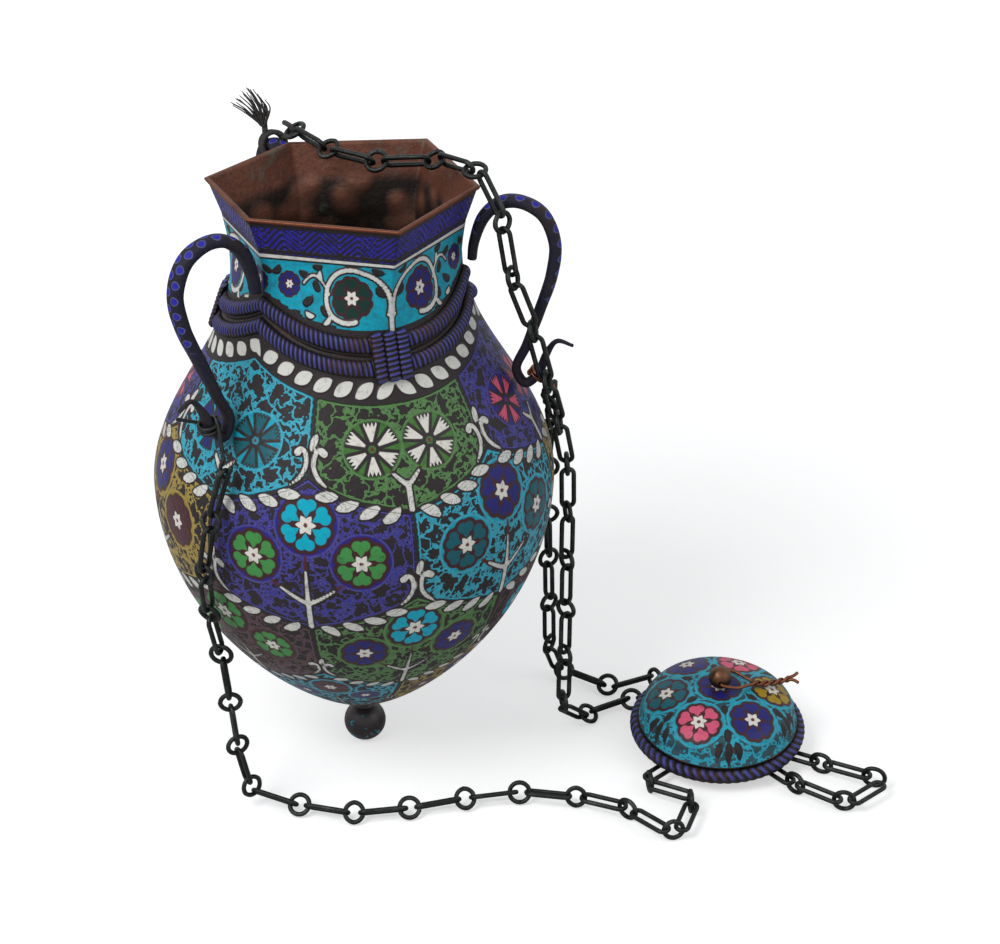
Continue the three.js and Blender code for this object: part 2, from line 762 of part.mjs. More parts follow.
addPiece('finial_washer', turned([
  [STEM_RADIUS + SEAT_GAP, WASHER_BOTTOM],
  [WASHER_RADIUS, WASHER_BOTTOM],
  [WASHER_RADIUS, WASHER_BOTTOM + WASHER_THICKNESS],
  [STEM_RADIUS + SEAT_GAP, WASHER_BOTTOM + WASHER_THICKNESS],
], 16), MATERIALS.copper);

for (const handle of HANDLES) {
  addPiece(`handle_${handle.name}`, handleShape(handle), MATERIALS.dark);
}

// The cap, tilted to the front as it lies on the chains' links

const CAP_SIDES = 28;
const CAP_EDGE = CAP_ROPE_RADIUS + CAP_ROPE / 2;
const cap = new THREE.Group();
cap.name = 'cap';
cap.rotation.x = CAP_TILT * RAD;
cap.position.set(CAP_X, CAP_Y,
  CAP_REST + (CAP_ROPE / 2) * Math.cos(CAP_TILT * RAD) + CAP_EDGE * Math.sin(CAP_TILT * RAD));
group.add(cap);

const domeArc = (radius, start, rise, steps, hole) => {
  const points = [];
  for (let i = 0; i <= steps; i++) {
    const share = 1 - (1 - hole / radius) * (i / steps) ** 0.8;
    const up = (1 - share ** CAP_SQUARENESS) ** (1 / CAP_SQUARENESS);
    points.push([radius * share, start + rise * up]);
  }
  return points;
};
const PIN_HOLE = KNOB_STEM / 2 + SEAT_GAP;
addPiece('cap_dome', turned([
  [CAP_SKIRT_RADIUS - CAP_WALL, -CAP_SKIRT_DROP],
  [CAP_SKIRT_RADIUS, -CAP_SKIRT_DROP],
  [CAP_SKIRT_RADIUS, CAP_DOME_START - CAP_WALL],
  [CAP_DOME_RADIUS + 0.8, CAP_DOME_START - CAP_WALL],
  [CAP_DOME_RADIUS + 0.8, CAP_DOME_START - 0.4],
  ...domeArc(CAP_DOME_RADIUS, CAP_DOME_START, CAP_DOME_RISE, 9, PIN_HOLE),
  ...domeArc(CAP_DOME_RADIUS - CAP_WALL - 1, CAP_DOME_START, CAP_DOME_RISE - CAP_WALL, 6,
    PIN_HOLE).reverse(),
], CAP_SIDES), MATERIALS.turquoise, cap);

const ropeEdge = Array.from({ length: 6 }, (_, k) => {
  const a = (FULL * (k + 0.5)) / 6;
  return [CAP_ROPE_RADIUS + (CAP_ROPE / 2) * Math.cos(a) * 0.98,
    (CAP_ROPE / 2) * Math.sin(a) - SEAT_GAP];
});
addPiece('cap_rope_edge', turned(ropeEdge, CAP_SIDES), MATERIALS.dark, cap);

// The bead with the pin that holds it to the cap, bored across for the hanging loop
const DOME_TOP = CAP_DOME_START + CAP_DOME_RISE;
const DOME_UNDER = DOME_TOP - CAP_WALL;
const PIN_HEAD = KNOB_STEM * 1.2;
const KNOB_CENTRE = DOME_TOP + SEAT_GAP + KNOB_RADIUS * 0.94;
const knobArc = Array.from({ length: 9 }, (_, i) => {
  const a = -Math.PI / 2 + 0.36 + ((Math.PI - 0.36) * i) / 8;
  return [i === 8 ? 0 : KNOB_RADIUS * Math.cos(a), KNOB_CENTRE + KNOB_RADIUS * Math.sin(a)];
});
const knobBody = solidTurned([
  [0, DOME_UNDER - SEAT_GAP - KNOB_STEM / 2],
  [PIN_HEAD * 0.8, DOME_UNDER - SEAT_GAP - KNOB_STEM * 0.4],
  [PIN_HEAD, DOME_UNDER - SEAT_GAP],
  [KNOB_STEM / 2, DOME_UNDER - SEAT_GAP],
  [KNOB_STEM / 2, KNOB_CENTRE - KNOB_RADIUS * 0.94],
  ...knobArc,
], 14);
const bore = new THREE.CylinderGeometry(KNOB_BORE / 2, KNOB_BORE / 2, KNOB_RADIUS * 3, 8);
bore.translate(0, 0, KNOB_CENTRE);
addPiece('knob_bead', fromSolid(toSolid(knobBody).subtract(toSolid(bore))),
  MATERIALS.bronze, cap);

// Least distance between the skins of a wire's far parts, measured on points along it
function leastGap(curve, diameter) {
  const count = 500;
  const points = curve.getSpacedPoints(count);
  const far = Math.ceil((4 * diameter * count) / curve.getLength());
  let least = Infinity;
  for (let i = 0; i <= count; i++) {
    for (let k = i + far; k <= count; k++) {
      least = Math.min(least, points[i].distanceTo(points[k]));
    }
  }
  return least - diameter;
}

const LOOP_STEPS = 84;

// The hanging loop: one wire through the bead, its two ends twisted together. Its own frame
// has the bore along Y and the loop along X.
function hangLoop() {
  const wire = LOOP_WIRE / 2;
  const side = KNOB_RADIUS + SEAT_GAP + wire + 0.2;
  const lay = wire + TWIST_GAP / 2;
  const half = [[0, 0, 0], [0, KNOB_RADIUS * 0.62, 0], [0.5, side - 0.5, 0], [2.6, side, 0],
    [LOOP_LENGTH * 0.55, side * 0.93, 0], [LOOP_LENGTH * 0.84, side * 0.5, 0]];
  const steps = Math.round(TWIST_TURNS * 6);
  const strand = (sign) => {
    const points = half.map(([x, y, z]) => new THREE.Vector3(x, sign * y, z));
    for (let i = 0; i <= steps; i++) {
      const share = i / steps;
      const a = Math.PI / 2 + share * TWIST_TURNS * FULL;
      points.push(new THREE.Vector3(
        LOOP_LENGTH + 1.4 + TWIST_LENGTH * share,
        sign * lay * Math.sin(a) + 6 * share ** 1.6,
        sign * lay * Math.cos(a) + 2.5 * share ** 2));
    }
    const end = points[points.length - 1];
    const apart = sign * Math.sign(Math.sin(Math.PI / 2 + TWIST_TURNS * FULL));
    points.push(end.clone().add(new THREE.Vector3(2.2, apart * 1.3 + 0.4, 0.4)));
    points.push(end.clone().add(new THREE.Vector3(4.2, apart * 2.6 + 0.7, 0.8 + apart * 0.6)));
    return points;
  };
  const points = [...strand(-1).reverse(), ...strand(1).slice(1)];
  const curve = new THREE.CatmullRomCurve3(points, false, 'centripetal');
  console.log(`hang_loop: least gap to itself ${leastGap(curve, LOOP_WIRE).toFixed(2)} mm`);
  return wireAlong(curve, LOOP_STEPS, wire, 5);
}
const loopPlace = new THREE.Group();
loopPlace.name = 'hang_loop_place';
loopPlace.position.set(0, 0, KNOB_CENTRE);
loopPlace.rotation.y = LOOP_DROOP * RAD;
cap.add(loopPlace);
addPiece('hang_loop', hangLoop(), MATERIALS.copper, loopPlace);

// The eyes under the cap: upright oval rings that hang from the inside of its skirt
const EYE_CENTRE = CAP_SKIRT_RADIUS - CAP_WALL - SEAT_GAP - EYE_WIDTH / 2;
cap.updateMatrixWorld(true);

for (const [name, degrees] of Object.entries(CAP_EYES)) {
  const height = EYE_TOP + EYE_DROP + EYE_WIRE;
  const centre = around(degrees, EYE_CENTRE, (EYE_TOP - EYE_DROP) / 2);
  const out = around(degrees, 1, 0);
  const points = Array.from({ length: 12 }, (_, k) => {
    const a = (FULL * k) / 12;
    return centre.clone()
      .addScaledVector(out, (EYE_WIDTH / 2 - EYE_WIRE / 2) * Math.cos(a))
      .addScaledVector(UP, (height / 2 - EYE_WIRE / 2) * Math.sin(a));
  });
  const face = around(degrees + 90, 1, 0);
  addPiece(`cap_eye_${name}`, tube(points, EYE_WIRE / 2, 6, true, () => face),
    MATERIALS.iron, cap);
}

// The chains, each from its eye under the cap to its handle

// The first pivot of a chain: inside the foot of its eye
function fromEye(degrees) {
  const start = cap.localToWorld(around(degrees, EYE_CENTRE, -EYE_DROP));
  start.z += EYE_WIRE / 2 + 2 * SEAT_GAP + WIRE_RADIUS;
  return start.addScaledVector(around(degrees, 1, 0), WIRE_RADIUS);
}

const FL = FLOOR_LIFT;
const UPRIGHT = RING_DIAMETER / 2 + SEAT_GAP;

// Places on a chain's way: beside the vessel as [direction, distance off the wall, height],
// and over its rim with the height above the rim
const besideWall = ([degrees, off, height]) =>
  around(degrees, wallRadius(degrees, height) + off, height).toArray();
const overRim = ([degrees, off, rise]) => besideWall([degrees, off, RIM_HEIGHT + rise]);

const leftStart = walk(fromEye(CAP_EYES.left), [
  [225, 5.8], [280, UPRIGHT + 0.6], [335, UPRIGHT], [273, UPRIGHT], [251, UPRIGHT],
  [185, UPRIGHT], [135, UPRIGHT], [140, UPRIGHT], [158, UPRIGHT],
]);
const leftRoute = [
  [108, -63, UPRIGHT], [81.5, -59, UPRIGHT], [54.8, -63, FL + 0.5], [26.9, -70, FL],
  [-2.4, -74, FL], [-29.8, -67, FL], [-45, -61.5, FL], [-51.5, -60.5, 8.5], [-55.5, -61.5, 17],
  ...[
    [-132.3, 70.8, 30], [-131.4, 32.9, 65], [-132.1, 14.1, 93], [-131.5, 7.4, 121],
    [-129, 7.8, 137.5], [-127.8, 8.8, 151], [-126.4, 8.8, 167], [-125.7, 7.7, 180],
    [-124.1, 10, 194.5], [-123.4, 11.9, 206], [-122.8, 14.4, 214], [-123.3, 27.6, 240],
  ].map(besideWall),
];
const rightStart = walk(fromEye(CAP_EYES.right), [[122, 9]]);
const rightRoute = [
  [150, 46, FL + 1.5], [133, 38, FL], [119, 47, FL], [106, 55, FL], [100, 52, 10],
  ...[
    [24.2, 92.3, 30], [23.3, 53.1, 60], [22.4, 27.9, 90], [21.5, 12.1, 120], [21, 5.8, 145],
    [18.7, 4.4, 160], [14, 5.2, 176], [8, 6.3, 190], [-0.3, 12.1, 203], [-3.6, 17.1, 212],
    [-4.8, 32, 240],
  ].map(besideWall),
];
// Beside the cap the back chain lies in a loop. It is open between the loop's two sides,
// so that each side swings on its own links.
const tailStart = walk(fromEye(CAP_EYES.back), [
  [-28, 6.2], [329, UPRIGHT + 0.4], [334, UPRIGHT + 0.2], [340, UPRIGHT],
]);
const backStart = walk(new THREE.Vector3(263.3, -54.8, UPRIGHT + 0.4), [
  [220, UPRIGHT], [168, UPRIGHT], [146, UPRIGHT + 0.7], [130, 5.5], [128.3, 5.3],
]);
const backRoute = [
  [199, -25, UPRIGHT + 2], [188, -12, UPRIGHT], [170, 8, UPRIGHT],
  [150, 25, FL], [129, 22, FL], [115, 9, FL], [106, 1, FL + 3],
  ...[
    [-1.1, 99, 25], [-0.5, 51.9, 60], [0, 16.3, 113], [0, 8, 145], [-1.1, 6.6, 162],
    [-3.4, 7.5, 180], [-6.9, 12.1, 198], [-11.4, 19.7, 216], [-12.6, 28, 245],
    [-14.1, 26.4, 272],
  ].map(besideWall),
  ...[
    [-14.3, 23.8, -21], [-14.4, 19.8, -11], [-14, 15, -2], [-11.6, 5.2, 6], [-4.9, -6.8, 8.5],
    [9.5, -10.5, 7.5], [20, -17.7, 5], [50.2, -40.8, 3], [99.8, -27.2, 3.5], [115.4, -5.5, 6],
    [116.4, 13.6, 2.5], [116.6, 26.7, -5], [117.7, 31, -61],
  ].map(overRim),
];

const chainEnds = {
  left: chain('chain_left', leftStart, leftRoute, 0, LEFT_LINKS),
  right: chain('chain_right', rightStart, rightRoute, 35, RIGHT_LINKS),
  back: chain('chain_back', backStart, backRoute, 0, BACK_LINKS, [0, 2, 3, 4, 5, 8, 12, 16, 18]),
};
chain('tail_link', tailStart, [], 0, TAIL_LINKS, [0, 1, 2, 3]);
for (const handle of HANDLES) {
  const shape = tie(handle, TIES[handle.name], chainEnds[handle.name]);
  addPiece(`tie_${handle.name}`, shape, handle.name === 'back' ? MATERIALS.rope : MATERIALS.iron);
}

export default group;
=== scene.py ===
"""Looks of an enamelled copper hanging lamp: a round-bellied vessel with a six-sided rim, three
scroll handles, chains of round and long links, and a domed ceiling cap lying beside it."""

import math

import bmesh
import bpy
import numpy as np
from bpy.props import FloatProperty, FloatVectorProperty, PointerProperty
from mathutils import Matrix, Vector


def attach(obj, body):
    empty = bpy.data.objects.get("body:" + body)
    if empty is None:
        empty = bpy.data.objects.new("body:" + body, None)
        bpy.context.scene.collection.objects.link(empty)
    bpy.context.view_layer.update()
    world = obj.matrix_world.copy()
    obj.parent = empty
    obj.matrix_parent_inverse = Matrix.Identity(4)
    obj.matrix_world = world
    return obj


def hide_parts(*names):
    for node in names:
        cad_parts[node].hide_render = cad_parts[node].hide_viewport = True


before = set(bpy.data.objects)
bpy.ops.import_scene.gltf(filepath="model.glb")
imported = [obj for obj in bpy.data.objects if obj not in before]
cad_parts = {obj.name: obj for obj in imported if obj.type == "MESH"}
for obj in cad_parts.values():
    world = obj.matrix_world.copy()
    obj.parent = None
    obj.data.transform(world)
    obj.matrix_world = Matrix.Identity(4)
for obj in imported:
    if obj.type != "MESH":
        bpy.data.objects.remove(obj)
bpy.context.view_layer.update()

bl_info = {
    "name": "Enamelled Hanging Lamp",
    "version": (1, 0, 0),
    "blender": (4, 5, 0),
    "location": "3D View > Sidebar > Lamp",
    "description": "Builds the enamel, ropes, chains and cap of a hanging lamp on its fixed frame",
    "category": "Add Mesh",
}

MM = 0.001
FULL = 2 * math.pi

# Sizes of the vessel, in millimetres, as the frame has them
SEAT_GAP = 0.3
RIM_HEIGHT = 311
RIM_RADIUS = 64.6
BODY_RADIUS = 98.5
BODY_WIDEST = 160
SHOULDER_RISE = 110
NECK_RADIUS = 56
BELLY_SQUARENESS = 1.23
WALL = 1.8
COLLAR_HEIGHT = 17
COLLAR_WAIST_RADIUS = 58.5
WAIST_DROP = 15
LIP_OVERHANG = 1.2
LIP_THICKNESS = 2.2
CORNER_DEGREES = np.array([-66, -6, 57.5, 119, 175, 229.5])
CORNER_REACH = np.array([1.07, 0.97, 1.06, 0.945, 1.0, 0.955])
BALL_RADIUS = 10.9
STEM_RADIUS = 2.6
STEM_COLLAR = 4.6
RIVET_RADIUS = 4.4
WASHER_RADIUS = 5.2
WASHER_HEIGHT = 1.4
SWAG_TOP = 268
SWAG_DROP = 15
ROPE_SPACING = 10
ROPE_WIDTH = 7.2
ROPE_RELIEF = 3
KNOT_WIDTH = 6.6
KNOT_PITCH = 5.8
KNOT_RELIEF = 2.2
HANDLE_WIDTH = 8.6
HANDLE_THICKNESS = 6
HANDLE_SQUARENESS = 0.8
HANDLES = {"right": (-6, 0), "back": (118.5, 0), "left": (229.5, -10)}
HANDLE_LINE = np.array([
    [59.4, 275], [60.4, 283], [65.2, 296], [73, 303], [82, 303.8], [92.4, 298], [98.2, 284],
    [96.9, 268], [91.4, 250], [85.2, 231.5], [80.2, 218.5], [84.6, 211.4], [91, 217],
    [94.6, 227], [99.6, 234], [107.2, 231.9]])
WIRE = 2.4
RING = 12.4
LINK_LENGTH = 25.4
LINK_WIDTH = 8.5
CAP_PLACE = (184.7, -9.2)
CAP_TILT = 4.5
CAP_REST = 6
CAP_ROPE_RADIUS = 42
CAP_ROPE = 7.2
DOME_RADIUS = 40.4
DOME_RISE = 19.8
DOME_START = 5.1
DOME_SQUARENESS = 2.5
CAP_WALL = 1.3
SKIRT_RADIUS = 38
DOME_HOLE = 1.8
KNOB_RADIUS = 5.9
LOOP_WIRE = 1.7
LOOP_LENGTH = 16
TWIST_LENGTH = 20
TWIST_TURNS = 2.5
LOOP_DROOP = 12.5

BODY_BOTTOM = 2 * BALL_RADIUS + 1.2
BOWL_FOOT = BODY_BOTTOM + (BODY_WIDEST - BODY_BOTTOM) * (
    1 - math.sqrt(1 - (5 / BODY_RADIUS) ** BELLY_SQUARENESS))
FOOT_BORE = 2.9
COLLAR_BOTTOM = RIM_HEIGHT - COLLAR_HEIGHT
ROSETTE_CORNERS = np.array([-66, 57.5, 175])
SWAG_ENDS = np.array([-130.5, -6, 118.5])
KNOT_DEGREES = {"front": -68.25, "right": 56.25, "back": 174.0}

# Columns of faces round each surface, between two corners of the rim or, for the dome, in a
# whole turn, and rows of points up each one
BOWL_COLUMNS = 70
NECK_COLUMNS = 66
ROPE_COLUMNS = 150
DOME_COLUMNS = 220
BOWL_ROWS = 205
NECK_ROWS = 50
COLLAR_ROWS = 20


def colour_property(name, description, default):
    return FloatVectorProperty(name=name, description=description, size=3, subtype="COLOR",
                               default=default, min=0, max=1)


class LampLooks(bpy.types.PropertyGroup):
    turquoise: colour_property(
        "Turquoise", "Enamel of the neck and of some cells", (0.0, 0.36, 0.5))
    cobalt: colour_property(
        "Cobalt", "Enamel of the collar and of some cells", (0.018, 0.013, 0.25))
    green: colour_property("Green", "Enamel of the green cells", (0.055, 0.185, 0.032))
    yellow: colour_property("Yellow", "Enamel of the yellow cells", (0.34, 0.23, 0.012))
    maroon: colour_property("Maroon", "Enamel of the maroon cells", (0.06, 0.014, 0.022))
    white: colour_property("White", "Enamel of leaves, petals and stems", (0.68, 0.66, 0.6))
    metal: colour_property(
        "Dark metal", "Blackened copper between the enamels", (0.024, 0.019, 0.02))
    copper: colour_property("Copper", "Bare copper of the inside", (0.13, 0.042, 0.022))
    iron: colour_property("Iron", "Wire of the chains", (0.016, 0.018, 0.018))
    wire_radius: FloatProperty(
        name="Wire radius", description="Half the thickness of the chain wire",
        subtype="DISTANCE", default=WIRE / 2 * MM, min=0.0005, max=0.003)
    rope_lay: FloatProperty(
        name="Rope lay", description="Distance from one strand of the rope to the next",
        subtype="DISTANCE", default=0.0023, min=0.001, max=0.01)
    light: FloatProperty(
        name="Key light", description="Power of the large soft light, in watts",
        default=15, min=0, max=100)


def looks():
    return bpy.context.scene.lamp_looks


# Surfaces

def around(degrees, radius, height):
    """Points at a direction, a distance from the axis and a height."""
    a = np.radians(degrees)
    a, radius, height = np.broadcast_arrays(a, radius, height)
    return np.stack([radius * np.cos(a), radius * np.sin(a), height], axis=-1)


def lerp(a, b, t):
    return a + (b - a) * t


def smooth(x, low, high):
    t = np.clip((x - low) / (high - low), 0, 1)
    return t * t * (3 - 2 * t)


def unit(v):
    return v / np.linalg.norm(v, axis=-1, keepdims=True)


def square_to(v, along):
    """The part of v that is square to a unit direction, as a unit vector."""
    return unit(v - along * (v * along).sum(-1, keepdims=True))


def along_path(points):
    """Distance along a path at each of its points."""
    return np.concatenate([[0], np.cumsum(np.linalg.norm(np.diff(points, axis=0), axis=1))])


def turn_from(degrees, marks):
    """Signed degrees from the nearest of several directions."""
    off = (np.asarray(degrees, float)[..., None] - marks + 180) % 360 - 180
    return np.take_along_axis(off, np.abs(off).argmin(-1)[..., None], -1)[..., 0]


def section(degrees, starts):
    """Which section between the starting directions each direction lies in, and how far on."""
    turn = (np.asarray(degrees, float) - starts[0]) % 360
    bounds = np.append((starts - starts[0]) % 360, 360)
    i = np.clip(np.searchsorted(bounds, turn, side="right") - 1, 0, len(starts) - 1)
    return i, (turn - bounds[i]) / (bounds[i + 1] - bounds[i])


def surface(name, points, body, replaces=(), data=None, materials=(), places=None):
    """A mesh over a grid of points in millimetres. Neighbouring rows and columns are joined by
    quads, and points that fall together, at seams and poles, become one."""
    rows, columns = points.shape[:2]
    index = np.arange(rows * columns).reshape(rows, columns)
    quads = np.stack([index[:-1, :-1], index[:-1, 1:], index[1:, 1:], index[1:, :-1]], axis=-1)
    corners = quads.reshape(-1)
    mesh = bpy.data.meshes.new(name)
    mesh.vertices.add(rows * columns)
    mesh.vertices.foreach_set("co", (points * MM).astype(np.float32).ravel())
    mesh.loops.add(len(corners))
    mesh.loops.foreach_set("vertex_index", corners.astype(np.int32))
    mesh.polygons.add(len(corners) // 4)
    mesh.polygons.foreach_set("loop_start", np.arange(0, len(corners), 4, dtype=np.int32))
    if places is not None:
        mesh.polygons.foreach_set("material_index", places.astype(np.int32).ravel())
    mesh.update()
    for key, values in (data or {}).items():
        layer = mesh.attributes.new(key, "FLOAT_VECTOR", "CORNER")
        values = np.broadcast_to(values, (rows, columns, 3)).reshape(-1, 3)
        layer.data.foreach_set("vector", values[corners].astype(np.float32).ravel())
    work = bmesh.new()
    work.from_mesh(mesh)
    bmesh.ops.remove_doubles(work, verts=work.verts, dist=1e-6)
    bmesh.ops.recalc_face_normals(work, faces=work.faces)
    work.to_mesh(mesh)
    work.free()
    return placed(name, mesh, body, replaces, materials)


def placed(name, mesh, body, replaces, materials):
    """A piece of a finished mesh, smooth, on its body and in its slot."""
    mesh.shade_smooth()
    for each in materials:
        mesh.materials.append(each)
    piece = bpy.data.objects.new(name, mesh)
    bpy.context.scene.collection.objects.link(piece)
    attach(piece, body)
    if replaces:
        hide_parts(*replaces)
    return piece


def joined(name, grids, body, replaces, materials):
    """One mesh of several grids of points, each with its data, as surface makes them."""
    parts = [surface(f"{name}_{i}", points, body, (), data, materials)
             for i, (points, data) in enumerate(grids)]
    work = bmesh.new()
    for part in parts:
        work.from_mesh(part.data)
    mesh = bpy.data.meshes.new(name)
    work.to_mesh(mesh)
    work.free()
    for part in parts:
        old = part.data
        bpy.data.objects.remove(part)
        bpy.data.meshes.remove(old)
    return placed(name, mesh, body, replaces, materials)


def tube(path, radius, side, sides=12, closed=False):
    """Grid of a round wire along a path: at each point a circle square to the path, counted
    from the given side direction. Open ends draw in to a point. The data are the distance
    along the wire and the angle round it."""
    if closed:
        path = np.concatenate([path, path[:1]])
        along = unit(np.roll(path[:-1], -1, 0) - np.roll(path[:-1], 1, 0))
        along = np.concatenate([along, along[:1]])
    else:
        along = unit(np.gradient(path, axis=0))
    side = square_to(np.broadcast_to(side, path.shape), along)
    across = np.cross(along, side)
    a = np.linspace(0, FULL, sides + 1)[None, :, None]
    radius = np.broadcast_to(radius, len(path))[:, None, None]
    grid = path[:, None] + radius * (np.cos(a) * side[:, None] + np.sin(a) * across[:, None])
    data = np.zeros(grid.shape)
    data[..., 0] = along_path(path)[:, None]
    data[..., 1] = np.linspace(0, 1, sides + 1)[None]
    if not closed:
        ring = np.ones((1, sides + 1, 1))
        first = (path[0] - along[0] * radius[0, 0, 0] / 2) * ring
        last = (path[-1] + along[-1] * radius[0, 0, 0] / 2) * ring
        grid = np.concatenate([first, lerp(grid[:1], first, 0.3), grid,
                               lerp(grid[-1:], last, 0.3), last])
        data = np.concatenate([data[:1], data[:1], data, data[-1:], data[-1:]])
    return grid, {"wire": data}


def spline(points, t):
    """A smooth curve through points, for shares of its length of points: cubic pieces whose
    knots are the square roots of the distances."""
    points = np.asarray(points, float)
    ends = np.concatenate([[2 * points[0] - points[1]], points, [2 * points[-1] - points[-2]]])
    at = np.clip(np.asarray(t, float) * (len(points) - 1), 0, len(points) - 1 - 1e-9)
    i = at.astype(int)
    w = (at - i)[..., None]
    p0, p1, p2, p3 = (ends[i + k] for k in range(4))
    d0, d1, d2 = (np.sqrt(np.linalg.norm(b - a, axis=-1, keepdims=True))
                  for a, b in ((p0, p1), (p1, p2), (p2, p3)))
    m1 = ((p1 - p0) / d0 - (p2 - p0) / (d0 + d1) + (p2 - p1) / d1) * d1
    m2 = ((p2 - p1) / d1 - (p3 - p1) / (d1 + d2) + (p3 - p2) / d2) * d1
    return (p1 + m1 * w + (-3 * p1 + 3 * p2 - 2 * m1 - m2) * w ** 2
            + (2 * p1 - 2 * p2 + m1 + m2) * w ** 3)


def evenly(points, count, steps=800):
    """Points at even distances along the smooth curve through the given ones."""
    line = spline(points, np.linspace(0, 1, steps))
    length = along_path(line)
    at = np.linspace(0, length[-1], count) if np.isscalar(count) else count * length[-1]
    return np.stack([np.interp(at, length, line[:, k]) for k in range(3)], axis=-1)


# The vessel's form

def rim_share(degrees):
    """Reach of the six-sided outline in a direction: where the ray crosses the side."""
    degrees = np.asarray(degrees, float)
    i, _ = section(degrees, CORNER_DEGREES)
    a = around(CORNER_DEGREES[i], CORNER_REACH[i], 0)
    b = around(CORNER_DEGREES[(i + 1) % 6], CORNER_REACH[(i + 1) % 6], 0)
    ray = around(degrees, 1, 0)
    edge = b - a
    return (a[..., 0] * edge[..., 1] - a[..., 1] * edge[..., 0]) / (
        ray[..., 0] * edge[..., 1] - ray[..., 1] * edge[..., 0])


def round_radius(height):
    """A squared-off belly below the widest line and a cosine shoulder above it."""
    down = np.clip((BODY_WIDEST - height) / (BODY_WIDEST - BODY_BOTTOM), 0, 1)
    low = BODY_RADIUS * (1 - down ** 2) ** (1 / BELLY_SQUARENESS)
    up = np.clip((height - BODY_WIDEST) / SHOULDER_RISE, 0, 1)
    high = NECK_RADIUS + (BODY_RADIUS - NECK_RADIUS) * (1 + np.cos(np.pi * up)) / 2
    return np.where(height <= BODY_WIDEST, low, high)


def wall_radius(degrees, height):
    """Round in the bowl, six-sided in the collar, and one turning into the other."""
    collar = lerp(COLLAR_WAIST_RADIUS, RIM_RADIUS, (height - COLLAR_BOTTOM) / COLLAR_HEIGHT)
    waist = lerp(NECK_RADIUS, COLLAR_WAIST_RADIUS,
                 np.clip((height - COLLAR_BOTTOM + WAIST_DROP) / WAIST_DROP, 0, 1))
    corner = np.where(height >= COLLAR_BOTTOM, collar, waist)
    flat = smooth(height, BODY_WIDEST + SHOULDER_RISE - 20, COLLAR_BOTTOM - 2)
    return lerp(round_radius(height), corner * rim_share(degrees), flat)


def wall_normal(degrees, height):
    """Outward direction, from the slope of the wall alone."""
    slope = (wall_radius(degrees, height + 1) - wall_radius(degrees, height - 1)) / 2
    return unit(around(degrees, 1, -slope))


def on_wall(degrees, height, off):
    point = around(degrees, wall_radius(degrees, height), height)
    return point + wall_normal(degrees, height) * np.asarray(off, float)[..., None]


def swag_height(degrees):
    """Height of the seam: parabolas that hang between the handles."""
    _, share = section(degrees, SWAG_ENDS)
    return SWAG_TOP - SWAG_DROP * (1 - (2 * share - 1) ** 2)


def directions(per_side):
    """Directions round the wall, with one on each corner of the rim."""
    ends = np.append(CORNER_DEGREES, CORNER_DEGREES[0] + 360.0)
    start = ends[:-1, None]
    span = np.diff(ends)[:, None]
    turn = (start + span * np.arange(per_side)[None] / per_side).ravel()
    return np.append(turn, CORNER_DEGREES[0] + 360.0)


# Heights of the tips of the cells, row by row, from above the first row down to the foot
CELL_TIPS = np.array([242, 184.5, 125, 76, 43, 24, 14])
CELL_AXIS = -70
COLUMN_DEGREES = 60


def build_bowl(materials):
    """The wall from the seam down to the foot, in even steps of a share of its height, then
    back up inside, one wall thickness in."""
    turn = directions(BOWL_COLUMNS)[None]
    share = np.linspace(0, 1, BOWL_ROWS)[:, None]
    top = swag_height(turn) - ROPE_SPACING / 2 - SEAT_GAP / 2
    height = lerp(top, BOWL_FOOT, share)
    outer = around(turn, wall_radius(turn, height), height)
    inner_share = np.linspace(0, 1, NECK_ROWS)[::-1, None]
    inner_height = lerp(top, BOWL_FOOT + WALL, inner_share)
    inner_radius = np.maximum(wall_radius(turn, inner_height) - WALL, FOOT_BORE)
    inner = around(turn, inner_radius, inner_height)
    hole = around(turn, FOOT_BORE, np.array([BOWL_FOOT, BOWL_FOOT + WALL])[:, None])
    points = np.concatenate([outer, hole, inner, outer[:1]])
    heights = np.concatenate([height, hole[..., 2], inner_height, height[:1]])
    turns = np.broadcast_to(turn, heights.shape)
    places = np.zeros((len(points) - 1, points.shape[1] - 1))
    places[BOWL_ROWS - 1:] = 1
    return surface("bowl_enamel", points, "lamp", ["bowl"],
                   bowl_fields(turns, heights), materials, places)


